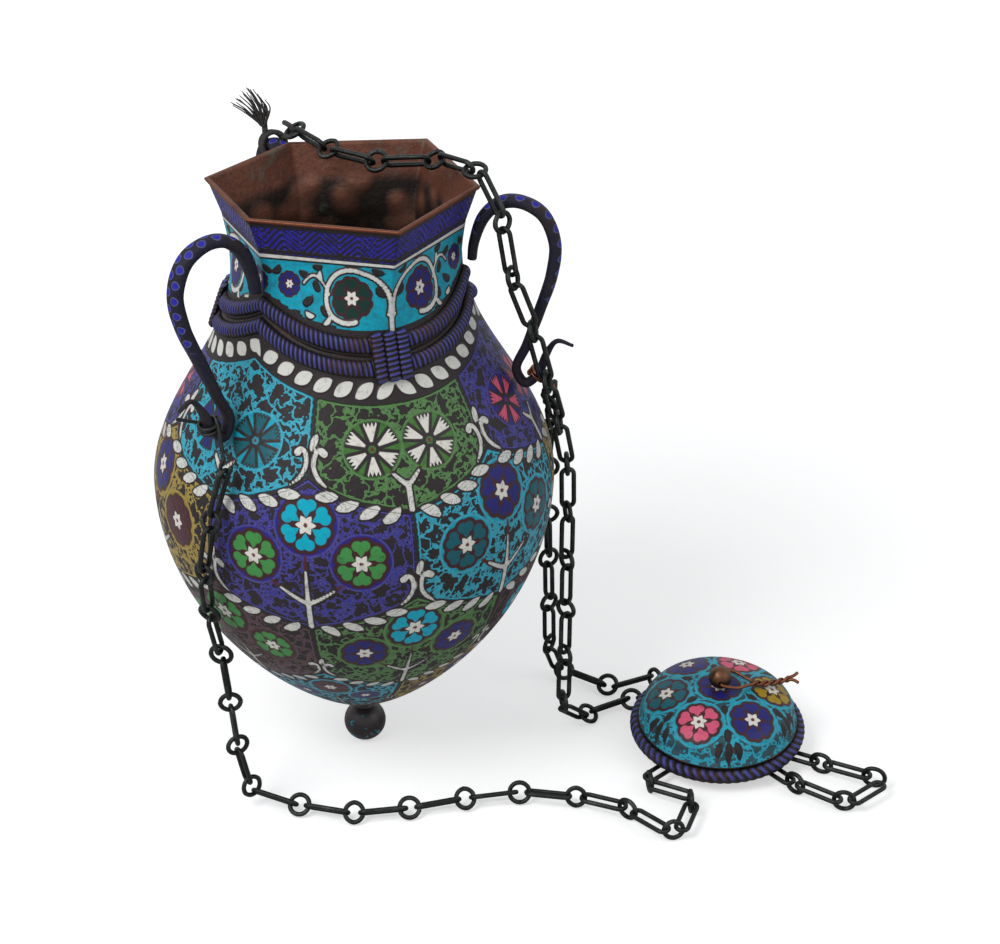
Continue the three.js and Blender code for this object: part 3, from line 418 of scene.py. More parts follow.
def build_neck(materials):
    """Rows up the outside to the lip, over it, and down inside to the seam."""
    turn = directions(NECK_COLUMNS)[None]
    low = swag_height(turn) - ROPE_SPACING / 2 + SEAT_GAP / 2

    def level(rows):
        return np.broadcast_to(np.reshape(rows, (-1, 1)), (len(rows), turn.size))
    height = np.concatenate([
        lerp(low, COLLAR_BOTTOM, np.linspace(0, 1, NECK_ROWS)[:, None]),
        level(lerp(COLLAR_BOTTOM, RIM_HEIGHT - LIP_THICKNESS, np.linspace(0.05, 1, COLLAR_ROWS))),
        level(RIM_HEIGHT + np.array([-1.8, -1.0, -0.35, 0, 0]))])
    wall = NECK_ROWS + COLLAR_ROWS
    off = np.concatenate([np.zeros(wall), [1.0, LIP_OVERHANG, 1.1, 0.6, 0.7 - WALL]])[:, None]
    outer = around(turn, wall_radius(turn, height) + off, height)
    down = np.concatenate([
        level([RIM_HEIGHT - 0.5]),
        level(lerp(RIM_HEIGHT - 1.2, COLLAR_BOTTOM, np.linspace(0, 1, 8))),
        lerp(COLLAR_BOTTOM, low, np.linspace(0.06, 1, 20)[:, None])])
    inner = around(turn, wall_radius(turn, down) - WALL, down)
    points = np.concatenate([outer, inner, outer[:1]])
    heights = np.concatenate([height, down, height[:1]])
    turns = np.broadcast_to(turn, heights.shape)
    places = np.zeros((len(points) - 1, points.shape[1] - 1))
    places[wall - 1:len(outer) - 1] = 2
    places[len(outer) - 1:] = 1
    along = along_path(outer[-3])
    along = along / along[-1] * ZIGZAGS
    return surface("neck_enamel", points, "lamp", ["neck"],
                   neck_fields(turns, heights, np.broadcast_to(along, turns.shape)), materials,
                   places)


def rope_relief(degrees):
    """Height of the moulding, which is pressed flatter under a knot."""
    off = np.abs(turn_from(degrees, list(KNOT_DEGREES.values())))
    half = 3 * KNOT_WIDTH / 2 + 4
    return lerp(0.45, 1.0, smooth(np.radians(off) * NECK_RADIUS, half - 3, half)) * ROPE_RELIEF


def build_rope(name, drop, lay, materials):
    """A half-round on the wall along the swag. Its skin swells and draws in with the strands,
    whose phase moves on along the rope and across it."""
    turn = directions(ROPE_COLUMNS)[:, None]
    a = np.linspace(0, np.pi, 15)[None]
    height = swag_height(turn) - drop
    low = on_wall(turn, height - ROPE_WIDTH / 2, SEAT_GAP)
    high = on_wall(turn, height + ROPE_WIDTH / 2, SEAT_GAP)
    middle = (low + high) / 2
    normal = wall_normal(turn, height)
    along = along_path(middle[:, 0])
    strands = round(along[-1] / lay)
    phase = along[:, None] / along[-1] * strands + 0.55 * (a / np.pi - 0.5)
    swell = 1 - 0.13 * (1 - np.abs(np.sin(np.pi * phase)))
    relief = rope_relief(turn) * swell
    grid = (middle + (high - middle) * (-np.cos(a) * lerp(1, swell, 0.25))[..., None]
            + normal * (relief * np.sin(a))[..., None])
    back = lerp(grid[:, -1:], grid[:, :1], np.array([0.5, 1.0])[None, :, None])
    points = np.concatenate([grid, back], axis=1)
    data = np.zeros(points.shape)
    data[:, :15, 0] = phase
    data[:, :15, 1] = a / np.pi
    data[:, 15:, 0] = phase[:, :1]
    return surface(name, points, "lamp", [name.replace("_strands", "")],
                   {"rope": data}, materials)


def build_knot(side, degrees, lay, materials):
    """Three short half-round ropes side by side, arched over both swag ropes."""
    middle = swag_height(degrees) - ROPE_SPACING / 2
    reach = ROPE_SPACING / 2 + ROPE_WIDTH / 2 + 2.5
    v = np.linspace(-1, 1, 50)[:, None]
    a = np.linspace(0, np.pi, 13)[None]
    grids = []
    for strand in (-1, 0, 1):
        height = middle - reach * v
        shift = strand * KNOT_PITCH
        turn = degrees + np.degrees(shift / wall_radius(degrees, height))
        normal = wall_normal(degrees, height)
        arch = 0.75 + ROPE_RELIEF * 0.45 * np.cos(np.pi * v / 2).clip(0) ** 0.3
        base = on_wall(turn, height, arch)
        across = around(degrees + 90, 1, 0)
        phase = v * reach / lay + 0.5 * (a / np.pi - 0.5)
        swell = 1 - 0.16 * (1 - np.abs(np.sin(np.pi * phase)))
        taper = np.clip((1 - np.abs(v)) / 0.12, 0, 1) ** 0.5
        aside = -KNOT_WIDTH / 2 * np.cos(a) * swell * lerp(0.5, 1, taper)
        rise = KNOT_RELIEF * np.sin(a) * swell * taper
        grid = base + across * aside[..., None] + normal * rise[..., None]
        ring = np.concatenate([grid, grid[:, :1]], axis=1)
        data = np.zeros(ring.shape)
        data[:, :13, 0] = phase
        data[:, :13, 1] = a / np.pi
        data[:, 13] = data[:, 0]
        ends = [np.broadcast_to(ring[i].mean(0), ring[i].shape)[None] for i in (0, -1)]
        grids.append((np.concatenate([ends[0], ring, ends[1]]),
                      {"rope": np.concatenate([data[:1], data, data[-1:]])}))
    return joined(f"knot_{side}_strands", grids, "lamp", [f"knot_{side}"],
                  materials)


def turned(profile, sides=48):
    """A profile of (radius, height) turned about the upright axis."""
    profile = np.asarray(profile, float)
    turn = np.linspace(0, 360, sides + 1)[None]
    return around(turn, profile[:, :1], profile[:, 1:])


# Handles

def handle_frame(side, u):
    """Points of the handle's middle line at shares of its length, with their side and outward
    directions, and the line's length."""
    degrees, bend = HANDLES[side]
    r, z = HANDLE_LINE.T
    shift = bend * np.clip((r - r[0]) / 40, 0, 1) * smooth(z, 205, 285)
    knots = around(degrees, r, z) + around(degrees + 90, shift, 0)
    fine = np.linspace(0, 1, 401)
    line = evenly(knots, fine)
    along = unit(np.gradient(line, axis=0))
    point, along = (np.stack([np.interp(np.atleast_1d(u), fine, each[:, k]) for k in range(3)],
                             axis=-1) for each in (line, along))
    along = unit(along)
    across = square_to(around(degrees + 90, 1, 0), along)
    return point, across, np.cross(across, along), along_path(line)[-1]


def handle_size(u):
    """Thickness along the handle: slimmer at the foot and towards the curled end."""
    foot = 1 - 0.25 * (1 - smooth(u, 0, 0.12))
    return foot * (1 - 0.28 * smooth(u, 0.42, 0.8)) * (1 - 0.66 * smooth(u, 0.86, 1))


def build_handle(side, materials):
    """A flattened round bar along the handle's line, its section a rounded oblong that shrinks
    to the curled end."""
    u = np.linspace(0, 1, 150)
    point, across, out, length = handle_frame(side, u)
    size = handle_size(u)[:, None]
    a = np.linspace(0, FULL, 25)[None]
    x, y = (np.sign(wave) * np.abs(wave) ** HANDLE_SQUARENESS * width / 2 * size
            for wave, width in ((np.cos(a), HANDLE_WIDTH), (np.sin(a), HANDLE_THICKNESS)))
    hammered = 1 + 0.02 * np.sin(u * 61)[:, None] * np.sin(u * 17 + 1)[:, None]
    grid = point[:, None] + across[:, None] * (x * hammered)[..., None] - out[:, None] * (
        y * hammered)[..., None]
    ends = [np.broadcast_to(point[i], grid[0].shape)[None] for i in (0, -1)]
    tip = ends[1] + 0.5 * unit(point[-1] - point[-2])
    points = np.concatenate([ends[0], grid, lerp(grid[-1:], tip, 0.5), tip])
    data = np.zeros(points.shape)
    data[1:-2, :, 0] = (u * length)[:, None]
    data[-2:, :, 0] = length
    data[1:-2, :, 1] = x
    data[1:-2, :, 2] = np.sin(a)
    return surface(f"handle_{side}_bar", points, "lamp", [f"handle_{side}"],
                   {"bar": data}, materials)


# Chains: rings and long links by turns, on the same pivots as the frame's solids. Links of one
# piece overlap by the bite, and there is play from one piece to the next.

RING_SPAN = RING - 2 * WIRE
LINK_SPAN = LINK_LENGTH - 2 * WIRE
PLAY = 1.0
BITE = -0.8
MOST_TWIST = 9
# Heights of a chain on the floor: on edge, and lying flat
UPRIGHT = RING / 2 + 0.3
FLAT = 5.5


def cap_matrix():
    tilt = math.radians(CAP_TILT)
    edge = CAP_ROPE_RADIUS + CAP_ROPE / 2
    place = Matrix.Translation((CAP_PLACE[0], CAP_PLACE[1], CAP_REST
                                + CAP_ROPE / 2 * math.cos(tilt) + edge * math.sin(tilt)))
    return np.array(place @ Matrix.Rotation(tilt, 4, "X"))


def on_cap(points):
    m = cap_matrix()
    return np.asarray(points, float) @ m[:3, :3].T + m[:3, 3]


EYE_DEGREES = {"left": 225, "right": 118, "back": -27}
EYE_RADIUS = 4
EYE_CENTRE = SKIRT_RADIUS - CAP_WALL - SEAT_GAP - EYE_RADIUS
EYE_DROP = 8.4
EYE_TOP = 1.6
EYE_WIRE = 1.6


def from_eye(degrees):
    start = on_cap(around(degrees, EYE_CENTRE, -EYE_DROP))
    start[2] += EYE_WIRE / 2 + 2 * SEAT_GAP + WIRE / 2
    return start + around(degrees, WIRE / 2, 0)


def walk(start, steps):
    """Pivots of the first links, by each link's heading and its far pivot's height."""
    pivots = [np.asarray(start, float)]
    for n, (heading, height) in enumerate(steps):
        span = RING_SPAN if n % 2 else LINK_SPAN
        rise = height - pivots[-1][2]
        pivots.append(pivots[-1] + around(heading, math.sqrt(span ** 2 - rise ** 2), rise))
    return pivots


def follow(begin, route, count):
    """Further pivots along a smooth route, a ring's span and a link's span apart by turns."""
    if not route:
        return begin
    knots = np.array([begin[-1]] + [list(p) for p in route])
    samples = spline(knots, np.linspace(0, 1, len(knots) * 120 + 1))
    pivots = list(begin)
    ring = (len(begin) - 1) % 2 == 1
    at = 0
    while len(pivots) <= count:
        span = RING_SPAN if ring else LINK_SPAN
        away = np.linalg.norm(samples[at:] - pivots[-1], axis=1)
        far = np.nonzero(away >= span)[0]
        if not len(far):
            break
        at += far[0]
        before = samples[at - 1]
        gap = span - np.linalg.norm(before - pivots[-1])
        pivots.append(before + gap * unit(samples[at] - before))
        ring = not ring
    return pivots


def facing(point):
    """Out from the axis by the wall, and up and forward elsewhere."""
    away = math.hypot(point[0], point[1])
    if away < BODY_RADIUS + 12 and BODY_WIDEST / 2 < point[2] < SWAG_TOP:
        return unit(np.array([point[0], point[1], 0]))
    return unit(np.array([0, -1.0, 1.0]))


def link_normals(pivots, untwisted, turn):
    """The way each link faces, square to the one before, then twisted a little at a time."""
    normal = np.array([0, 0, 1.0])
    found = []
    for n, (a, b) in enumerate(zip(pivots[:-1], pivots[1:])):
        along = unit(b - a)
        if n > 0:
            normal = unit(np.cross(along, normal))
        if n >= untwisted:
            face = facing((a + b) / 2)
            face = square_to(face, along)
            face = np.array(Matrix.Rotation(math.radians(turn), 3, Vector(along)) @ Vector(face))
            target = face if n % 2 else np.cross(along, face)
            target = target * (np.sign(target @ normal) or 1)
            off = math.asin(np.clip(np.cross(normal, target) @ along, -1, 1))
            most = math.radians(MOST_TWIST)
            twist = Matrix.Rotation(float(np.clip(off, -most, most)), 3, Vector(along))
            normal = np.array(twist @ Vector(normal))
        found.append(normal)
    return found


def past(pivots, edge, play):
    """How far an end bar lies past its pivot: more where the chain turns there."""
    half = 1
    if 0 < edge < len(pivots) - 1:
        before = unit(pivots[edge] - pivots[edge - 1])
        after = unit(pivots[edge + 1] - pivots[edge])
        half = max(np.linalg.norm(before + after) / 2, 0.6)
    return (WIRE / 2 + play / 2) / half


def link_grid(a, b, normal, width, past_a, past_b, radius):
    """An oblong or round link: two half-circles joined by straight runs, of round wire."""
    along = unit(b - a)
    span = np.linalg.norm(b - a)
    flat = square_to(normal, along)
    across = np.cross(flat, along)
    half = width / 2 - WIRE / 2
    t = np.linspace(-np.pi / 2, np.pi / 2, 12)
    far = np.stack([span + past_b - half + half * np.cos(t), half * np.sin(t)], axis=-1)
    near = np.stack([half - past_a - half * np.cos(t), -half * np.sin(t)], axis=-1)
    run = np.linspace(0, 1, 6)[1:-1, None]
    line = np.concatenate([far, lerp(far[-1], near[0], run), near, lerp(near[-1], far[0], run)])
    path = a + line[:, :1] * along + line[:, 1:] * across
    return tube(path, radius, flat, 10, closed=True)


def build_chain(name, pivots, untwisted, turn, edges, materials):
    """The links between pivots, joined into one piece from each edge to the next."""
    normals = link_normals(pivots, untwisted, turn)
    radius = looks().wire_radius / MM
    for n, (first, last) in enumerate(zip(edges[:-1], edges[1:])):
        grids = []
        for i in range(first, last):
            before, after = (past(pivots, e, PLAY if e in edges else BITE) for e in (i, i + 1))
            grid, data = link_grid(pivots[i], pivots[i + 1], normals[i],
                                   RING if i % 2 else LINK_WIDTH, before, after, radius)
            data["wire"][..., 2] = i
            grids.append((grid, data))
        node = f"{name}_{n + 1}"
        joined(f"{node}_links", grids, CHAIN_BODIES.get(node, "lamp"), [node],
               materials)


def edges_from(starts, total):
    edges = list(starts)
    while edges[-1] + 4 < total:
        edges.append(edges[-1] + 4)
    return edges + [total]


# Patterns as fields: each surface carries, in millimetres, how far a point is from the metal
# lines, the white leaves, the dark leaves and the stems, and where it lies in the nearest flower

HEIGHTS = np.linspace(12, 275, 1200)
PROFILE = along_path(np.stack([round_radius(HEIGHTS), HEIGHTS], axis=-1))


def down_wall(height):
    """Millimetres down the bowl's wall to a height."""
    return PROFILE[-1] - np.interp(height, HEIGHTS, PROFILE)


def row_height(rows):
    return np.interp(rows, np.arange(len(CELL_TIPS)), CELL_TIPS)


def column_width(down):
    height = np.interp(PROFILE[-1] - down, PROFILE, HEIGHTS)
    return np.maximum(round_radius(height), 1) * math.radians(COLUMN_DEGREES)


def cusp(t):
    """Rise of a cell's lower edge from its tip to its side."""
    return 0.68 * t + 0.32 * t ** 4


CUSP_HEIGHT = 0.29
ROWS = (1, 2, 3, 4, 5)


def edge_point(row, a):
    """Column and row of a point of a row's lower edge, a columns from its axis."""
    return 0.5 * (row % 2 == 0) + a, row - CUSP_HEIGHT * cusp(2 * np.abs(a))


def rows_of(*columns):
    """Columns of numbers, side by side."""
    return np.stack(np.broadcast_arrays(*columns), axis=-1)


def stroke(middle, angle, length, width, bend=0.0, count=7):
    """Discs along a leaf: a lens about its middle, at an angle, with a bend. Rows of x, y and
    radius, y down."""
    t = np.linspace(-0.5, 0.5, count)
    turn = math.radians(angle) + bend * t
    x = middle[0] + t * length * np.cos(turn)
    y = middle[1] - t * length * np.sin(turn)
    return np.stack([x, y, width * np.cos(np.pi * t) ** 0.9], axis=-1)


# White leaves under a cell's lower edge, as place along it from its tip and lean in degrees
EDGE_LEAVES = ((0.19, 34), (0.4, 26), (0.61, 14), (0.81, 2))
# The white scroll in a cell's lower corner, from its knob, round beside the upright line and
# out along the lower edge: millimetres into the cell and down
CORNER_SCROLL = ((6.6, -10.4), (5.2, -11.9), (3.2, -11.2), (1.9, -7.6), (2.2, -3.2), (4.6, 1.2),
                 (8.2, 4.6))
# Stems of a cell: how far up they part, and where each ends, in columns aside and rows up
FIRST_STEMS = (0.2, ((-0.11, -0.36), (0.11, -0.36)))
STEMS = (0.26, ((0, -0.8), (-0.2, -0.5), (0.2, -0.5)))


def corner_scroll(sign, size):
    """Discs along the scroll in a cell's lower corner, thickest at its knob."""
    knots = np.array([(x, y, 0) for x, y in CORNER_SCROLL], float)
    line = evenly(knots, 44)
    width = np.interp(np.linspace(0, 1, 44), [0, 0.14, 0.8, 1], [1.7, 1.05, 0.95, 0.5])
    return np.stack([sign * line[:, 0] * size, line[:, 1] * size, width * size], axis=-1)


def on_cells(column, row, marks):
    """Marks drawn in millimetres about a point of the net, as column, millimetres down the
    wall, and radius."""
    down = down_wall(row_height(row))
    width = column_width(down)
    marks = np.array(marks, float)
    return np.stack([column + marks[:, 0] / width, down + marks[:, 1], marks[:, 2]], axis=-1)


def net_marks():
    """Discs of the net, in columns aside and millimetres down: its lines, white leaves and
    stems."""
    lines, white, stems = [], [], []
    half = np.linspace(-0.5, 0.5, 61)
    for row in ROWS:
        column, at = edge_point(row, half)
        down = down_wall(row_height(at))
        lines.append(rows_of(column, down, 0))
        side = np.linspace(row - 1, row - CUSP_HEIGHT, 24)
        down = down_wall(row_height(side))
        lines.append(rows_of(column[0], down, 0))
        axis = 0.5 * (row % 2 == 0)
        size = np.clip(column_width(down_wall(row_height(row))) / 95, 0.3, 1)
        for sign in (-1, 1):
            for t, lean in EDGE_LEAVES:
                column, at = edge_point(row, sign * t / 2)
                white.append(on_cells(column, at, stroke((0, 3.1 * size), -lean * sign,
                                                         11.6 * size, 2.5 * size,
                                                         -0.5 * sign * (t < 0.3))))
            column, at = edge_point(row, sign * 0.5)
            white.append(on_cells(column, at, corner_scroll(-sign, size)))
        column, at = edge_point(row, 0.5)
        white.append(on_cells(column, at, stroke((1.2 * size, -15.5 * size), 72, 9 * size,
                                                 1.7 * size)))
        fork, heads = FIRST_STEMS if row == 1 else STEMS
        t = np.linspace(0, 1, 60)
        for column, at in heads:
            high = fork + (abs(at) - fork) * t ** 0.9
            way = np.stack([axis + column * t ** 0.75, down_wall(row_height(row - high)),
                            (1.15 - 0.9 * t) * size], axis=-1)
            white.append(way[:32])
            stems.append(way[32:] + [0, 0, 0.35 * size])
        up = np.linspace(0.02, fork, 16)
        white.append(rows_of(axis, down_wall(row_height(row - up)), 1.25 * size))
    return [np.concatenate(part) for part in (lines, white, stems)]


def nearest(x, y, marks, width=None, chunk=20000):
    """Signed distance from points to the nearest disc. Where a column's width is given, x is
    counted in columns, which repeat."""
    x, y = np.broadcast_arrays(x, y)
    shape = x.shape
    x, y = x.ravel(), y.ravel()
    found = np.empty(x.size)
    for i in range(0, x.size, chunk):
        part = slice(i, i + chunk)
        across = x[part, None] - marks[:, 0]
        if width is not None:
            across = ((across + 0.5) % 1 - 0.5) * width[part, None]
        away = np.hypot(across, y[part, None] - marks[:, 1])
        found[part] = (away - marks[:, 2]).min(1)
    return found.reshape(shape)


def nearest_flower(shape, flowers):
    """The place in the nearest flower, as x, y and distance in its radius, and its colour.
    Each flower gives x and y from its middle, where it grows, and its colour."""
    bloom = np.zeros(shape + (3,))
    bloom[..., 2] = 9
    petals = np.zeros(shape + (3,))
    for x, y, grows, colour in flowers:
        near = np.hypot(x, y)
        closer = (near < bloom[..., 2]) & grows
        bloom[closer] = np.stack([x, y, near], axis=-1)[closer]
        petals[closer] = np.broadcast_to(colour, petals.shape)[closer]
    return bloom, petals


def cell_of(column, row):
    """Row and column number of the cell that a point lies in."""
    odd = np.abs(column - np.round(column))
    even = 0.5 - odd
    number = (np.floor((row + CUSP_HEIGHT * cusp(2 * odd) + 1) / 2)
              + np.floor((row + CUSP_HEIGHT * cusp(2 * even)) / 2) + 1)
    number = np.clip(number, 1, 6)
    place = np.where(number % 2 == 1, np.round(column), np.floor(column) + 0.5)
    return number.astype(int), place


# Ground, upper flower and side flowers of each cell, by row and by column in threes
CELL_COLOURS = {
    1: (("green", "white", "white"), ("cobalt", "pink", "pink"), ("turquoise", "navy", "teal")),
    2: (("yellow", "navy", "maroon"), ("cobalt", "turquoise", "leaf"),
        ("turquoise", "navy", "teal")),
    3: (("green", "turquoise", "navy"), ("maroon", "leaf", "turquoise"),
        ("maroon", "leaf", "leaf")),
    4: (("cobalt", "leaf", "turquoise"), ("turquoise", "maroon", "navy"),
        ("yellow", "navy", "maroon")),
    5: (("maroon", "leaf", "turquoise"), ("green", "navy", "navy"), ("cobalt", "leaf", "leaf")),
    6: (("cobalt", "leaf", "leaf"), ("cobalt", "leaf", "leaf"), ("cobalt", "leaf", "leaf")),
}


def palette():
    """The enamels by name: those set in the panel, and the fixed ones of small flowers."""
    own = looks()
    colours = {
        "turquoise": own.turquoise, "cobalt": own.cobalt, "green": own.green,
        "yellow": own.yellow, "maroon": own.maroon, "white": own.white, "metal": own.metal,
        "pink": (0.62, 0.09, 0.17), "navy": (0.014, 0.016, 0.15), "teal": (0.004, 0.1, 0.13),
        "leaf": (0.05, 0.25, 0.06), "moss": (0.005, 0.03, 0.024)}
    return {name: np.array(value) for name, value in colours.items()}


def painted(shape, ground, petals, lines, white, dark, stems, bloom, carnation=0.0, islands=0.0):
    """The fields of a surface, as the enamel reads them. carnation is 1 where the flowers have
    long notched petals, and islands where the ground is broken by dark islands."""
    def wide(values):
        return np.broadcast_to(values, shape + np.shape(values)[-1:])
    return {"ground": wide(ground), "petals": wide(petals), "bloom": wide(bloom),
            "marks": np.stack(np.broadcast_arrays(lines, white, dark), axis=-1),
            "stems": np.stack(np.broadcast_arrays(stems, carnation, islands), axis=-1)}


# Flowers of a cell: columns aside, rows up from its tip, radius as a share of a column, and
# which of the cell's colours. The first row has carnations in place of the others.
ROSETTES = ((0, -0.94, 0.142, 1), (-0.25, -0.64, 0.13, 2), (0.25, -0.64, 0.13, 2))
CARNATIONS = ((-0.165, -0.47, 0.152, 1), (0.165, -0.47, 0.152, 2))
# Border under the ropes, in millimetres down from them: slanting leaves, then a line
LEAF_PITCH = 9.6
LEAF_DROP = 9.0
LEAF_LENGTH = 5.8
LEAF_WIDTH = 2.6
BORDER_DROP = 13.6
LEAF_RADIUS = 66
TOP_ROW = 57.5


def bowl_fields(degrees, height):
    """The net of cells with their flowers, and above it the border of leaves."""
    shape = height.shape
    turn, tall = degrees.ravel(), height.ravel()
    column = (turn - CELL_AXIS) / COLUMN_DEGREES
    down = down_wall(np.maximum(tall, HEIGHTS[0]))
    row = np.interp(-tall, -CELL_TIPS, np.arange(len(CELL_TIPS)))
    row = np.where(tall > CELL_TIPS[0], -(tall - CELL_TIPS[0]) / TOP_ROW, row)
    width = column_width(down)
    lines, white, stems = (nearest(column, down, marks, width) for marks in net_marks())
    number, place = cell_of(column, row)
    first = number == 1
    third = np.where(number % 2 == 1, place % 3, (place + 1.5) % 3).astype(int)
    colours = palette()
    table = np.array([[[colours[name] for name in cell] for cell in CELL_COLOURS[r]]
                      for r in range(1, 7)])[number - 1, third]

    def flowers():
        for heads, grows in ((ROSETTES, ~first), (CARNATIONS, first)):
            for side, at, share, which in heads:
                centre = down_wall(row_height(np.clip(number + at, 0, 6)))
                size = share * column_width(centre)
                yield ((column - place - side) * width / size, (down - centre) / size, grows,
                       table[:, which])
    bloom, petals = nearest_flower(turn.shape, flowers())
    swag = swag_height(turn) - ROPE_SPACING - tall
    along = np.radians(turn_from(turn, list(KNOT_DEGREES.values()))) * LEAF_RADIUS
    leaf_x = (np.abs(along) % LEAF_PITCH) - LEAF_PITCH / 2
    leaf_y = swag - LEAF_DROP
    long = 0.8 * leaf_x + 0.6 * leaf_y
    short = 0.8 * leaf_y - 0.6 * leaf_x
    leaf = np.abs(short) - LEAF_WIDTH * (1 - (long / LEAF_LENGTH) ** 2)
    border = swag - BORDER_DROP
    white = np.where(border > 0, white, leaf)
    lines = np.where((border > 0) & (tall >= 28), np.minimum(lines, np.abs(border)) + 1.5, 0.0)
    stems = np.where(border < 2.0, 2.0, stems)
    bloom[border < 0.5, 2] = np.maximum(bloom[border < 0.5, 2], 1.2)

    def back(values):
        return values.reshape(shape + values.shape[1:])
    return painted(shape, back(table[:, 0]), back(petals), back(lines), back(white), 3.0,
                   back(stems), back(bloom), back(first.astype(float)), 1.0)


# Flowers on the neck: millimetres aside from a corner with a stem, height, radius, and the
# colours to the left and to the right
NECK_HEADS = ((18.5, 274.6, 10.6, "moss", "navy"), (52, 279, 6.4, "navy", "navy"))
NECK_LEAVES = ((32, 268, 40, 6), (37, 279, 60, 6), (41, 272, -30, 6.5), (44, 284, 20, 6),
               (57, 268, 70, 6), (58, 285, -40, 5.5), (5, 278, 70, 6.5), (6, 288, 20, 6),
               (36, 288, 0, 5.5), (30, 261, 10, 6), (48, 266, -10, 6))
NECK_PALE_LEAVES = ((35, 284, 80), (40, 266, 20), (30.5, 264, -50))
STEM_ARC = 13.6
STEM_PLACE = (18, 274.6)
STEM_WIDTH = 1.1
ZIGZAGS = 21
ZIGZAG_RISE = 8.8
STRIPE_PITCH = 3.1


def neck_marks():
    """White stems and leaves and dark leaves of the neck, from a corner with a stem, y up."""
    white = [rows_of(0, np.linspace(256, 268, 20), STEM_WIDTH)]
    dark = []

    def leaf(sign, x, z, angle, length, width):
        lean = angle if sign > 0 else 180 - angle
        return stroke((sign * x, -z), lean, length, width, 0.8 * sign) * [1, -1, 1]
    for sign in (-1, 1):
        a = np.radians(np.linspace(205, -95, 46))
        r = np.interp(np.linspace(0, 1, 46), [0, 0.3, 0.8, 1],
                      [STEM_ARC + 5, STEM_ARC, STEM_ARC, 11])
        white.append(rows_of(sign * (STEM_PLACE[0] + r * np.cos(a)),
                             STEM_PLACE[1] + r * np.sin(a) * 0.98, STEM_WIDTH))
        t = np.linspace(0, 1, 22)
        white.append(rows_of(sign * (30 + 14 * t), 276 + 8 * np.sin(2.6 * t), 0.6))
        dark += [leaf(sign, *each, 0.24 * each[-1]) for each in NECK_LEAVES]
        white += [leaf(sign, *each, 5.5, 1.15) for each in NECK_PALE_LEAVES]
    return np.concatenate(white), np.concatenate(dark)


def neck_fields(degrees, height, along):
    """Flowers on stems by the corners of the rim, and stripes that zigzag round the collar."""
    colours = palette()
    x = np.radians(turn_from(degrees, ROSETTE_CORNERS)) * COLLAR_WAIST_RADIUS
    white_marks, dark_marks = neck_marks()
    white = np.minimum(nearest(x, height, white_marks), np.abs(height - 291.7) - 0.85)
    dark = nearest(x, height, dark_marks)
    bloom, petals = nearest_flower(x.shape, [
        ((x - sign * aside) / size, (tall - height) / size, True, colours[name])
        for aside, tall, size, left, right in NECK_HEADS
        for sign, name in ((-1, left), (1, right))])
    collar = height > COLLAR_BOTTOM - 1
    rise = (height - COLLAR_BOTTOM) - ZIGZAG_RISE * np.abs(along % 1 - 0.5) * 2
    stripe = np.abs(rise / STRIPE_PITCH % 1 - 0.5) * STRIPE_PITCH
    rim = np.minimum(np.abs(height - COLLAR_BOTTOM - 0.6), np.abs(height - RIM_HEIGHT + 3))
    lines = np.where(collar, np.minimum(stripe + 2.05, rim + 1.9),
                     np.minimum(9.0, np.abs(height - 293.4)))
    above = height - swag_height(degrees)
    lines = np.where(above < 6.5, 0.0, lines)
    ground = np.where(collar[..., None], colours["cobalt"] * 1.4, colours["turquoise"])
    white = np.where(collar | (above < 5), 3.0, white)
    dark = np.where(collar, 3.0, dark)
    bloom[collar, 2] = 9
    return painted(x.shape, ground, petals, lines, white, dark, 3.0, bloom)


CAP_HEADS = ("pink", "navy", "yellow", "pink", "navy", "teal")
CAP_HEAD_PLACE = 27.5
CAP_HEAD_RADIUS = 12.2
CAP_MIDDLE_RADIUS = 11.5
# Leaves between the outer rosettes: distance from the middle, degrees aside, and length
CAP_LEAVES = ((40, 0, 7), (40, 7.5, 6), (40, -7.5, 6), (33, 0, 6.5), (17.5, 0, 5))


def cap_fields(x, y, edge):
    """The dome laid flat, to its edge's distance from the middle: a middle rosette, six round
    it, and leaves between them."""
    colours = palette()
    flowers = [(x / CAP_MIDDLE_RADIUS, -y / CAP_MIDDLE_RADIUS, True, colours["navy"])]
    dark = []
    for n, name in enumerate(CAP_HEADS):
        a = math.radians(60 * n - 117)
        px = (x - CAP_HEAD_PLACE * math.cos(a)) / CAP_HEAD_RADIUS
        py = (CAP_HEAD_PLACE * math.sin(a) - y) / CAP_HEAD_RADIUS
        flowers.append((px * math.cos(a) - py * math.sin(a), px * math.sin(a) + py * math.cos(a),
                        True, colours[name]))
        for far, swing, length in CAP_LEAVES:
            between = math.degrees(a) + 30
            leaf = stroke((0, 0), between + 4 * swing, length, 1.5) * [1, -1, 1]
            dark.append(leaf + around(between + swing, far, 0))
    bloom, petals = nearest_flower(x.shape, flowers)
    r = np.hypot(x, y)
    lines = np.maximum(edge - 0.8 - r, 0) + 1.6
    white = np.abs(r - edge + 2.4) - 0.35
    return painted(x.shape, colours["turquoise"], petals, lines, white,
                   nearest(x, y, np.concatenate(dark)), 3.0, bloom, 0.0, 0.6)


# Materials

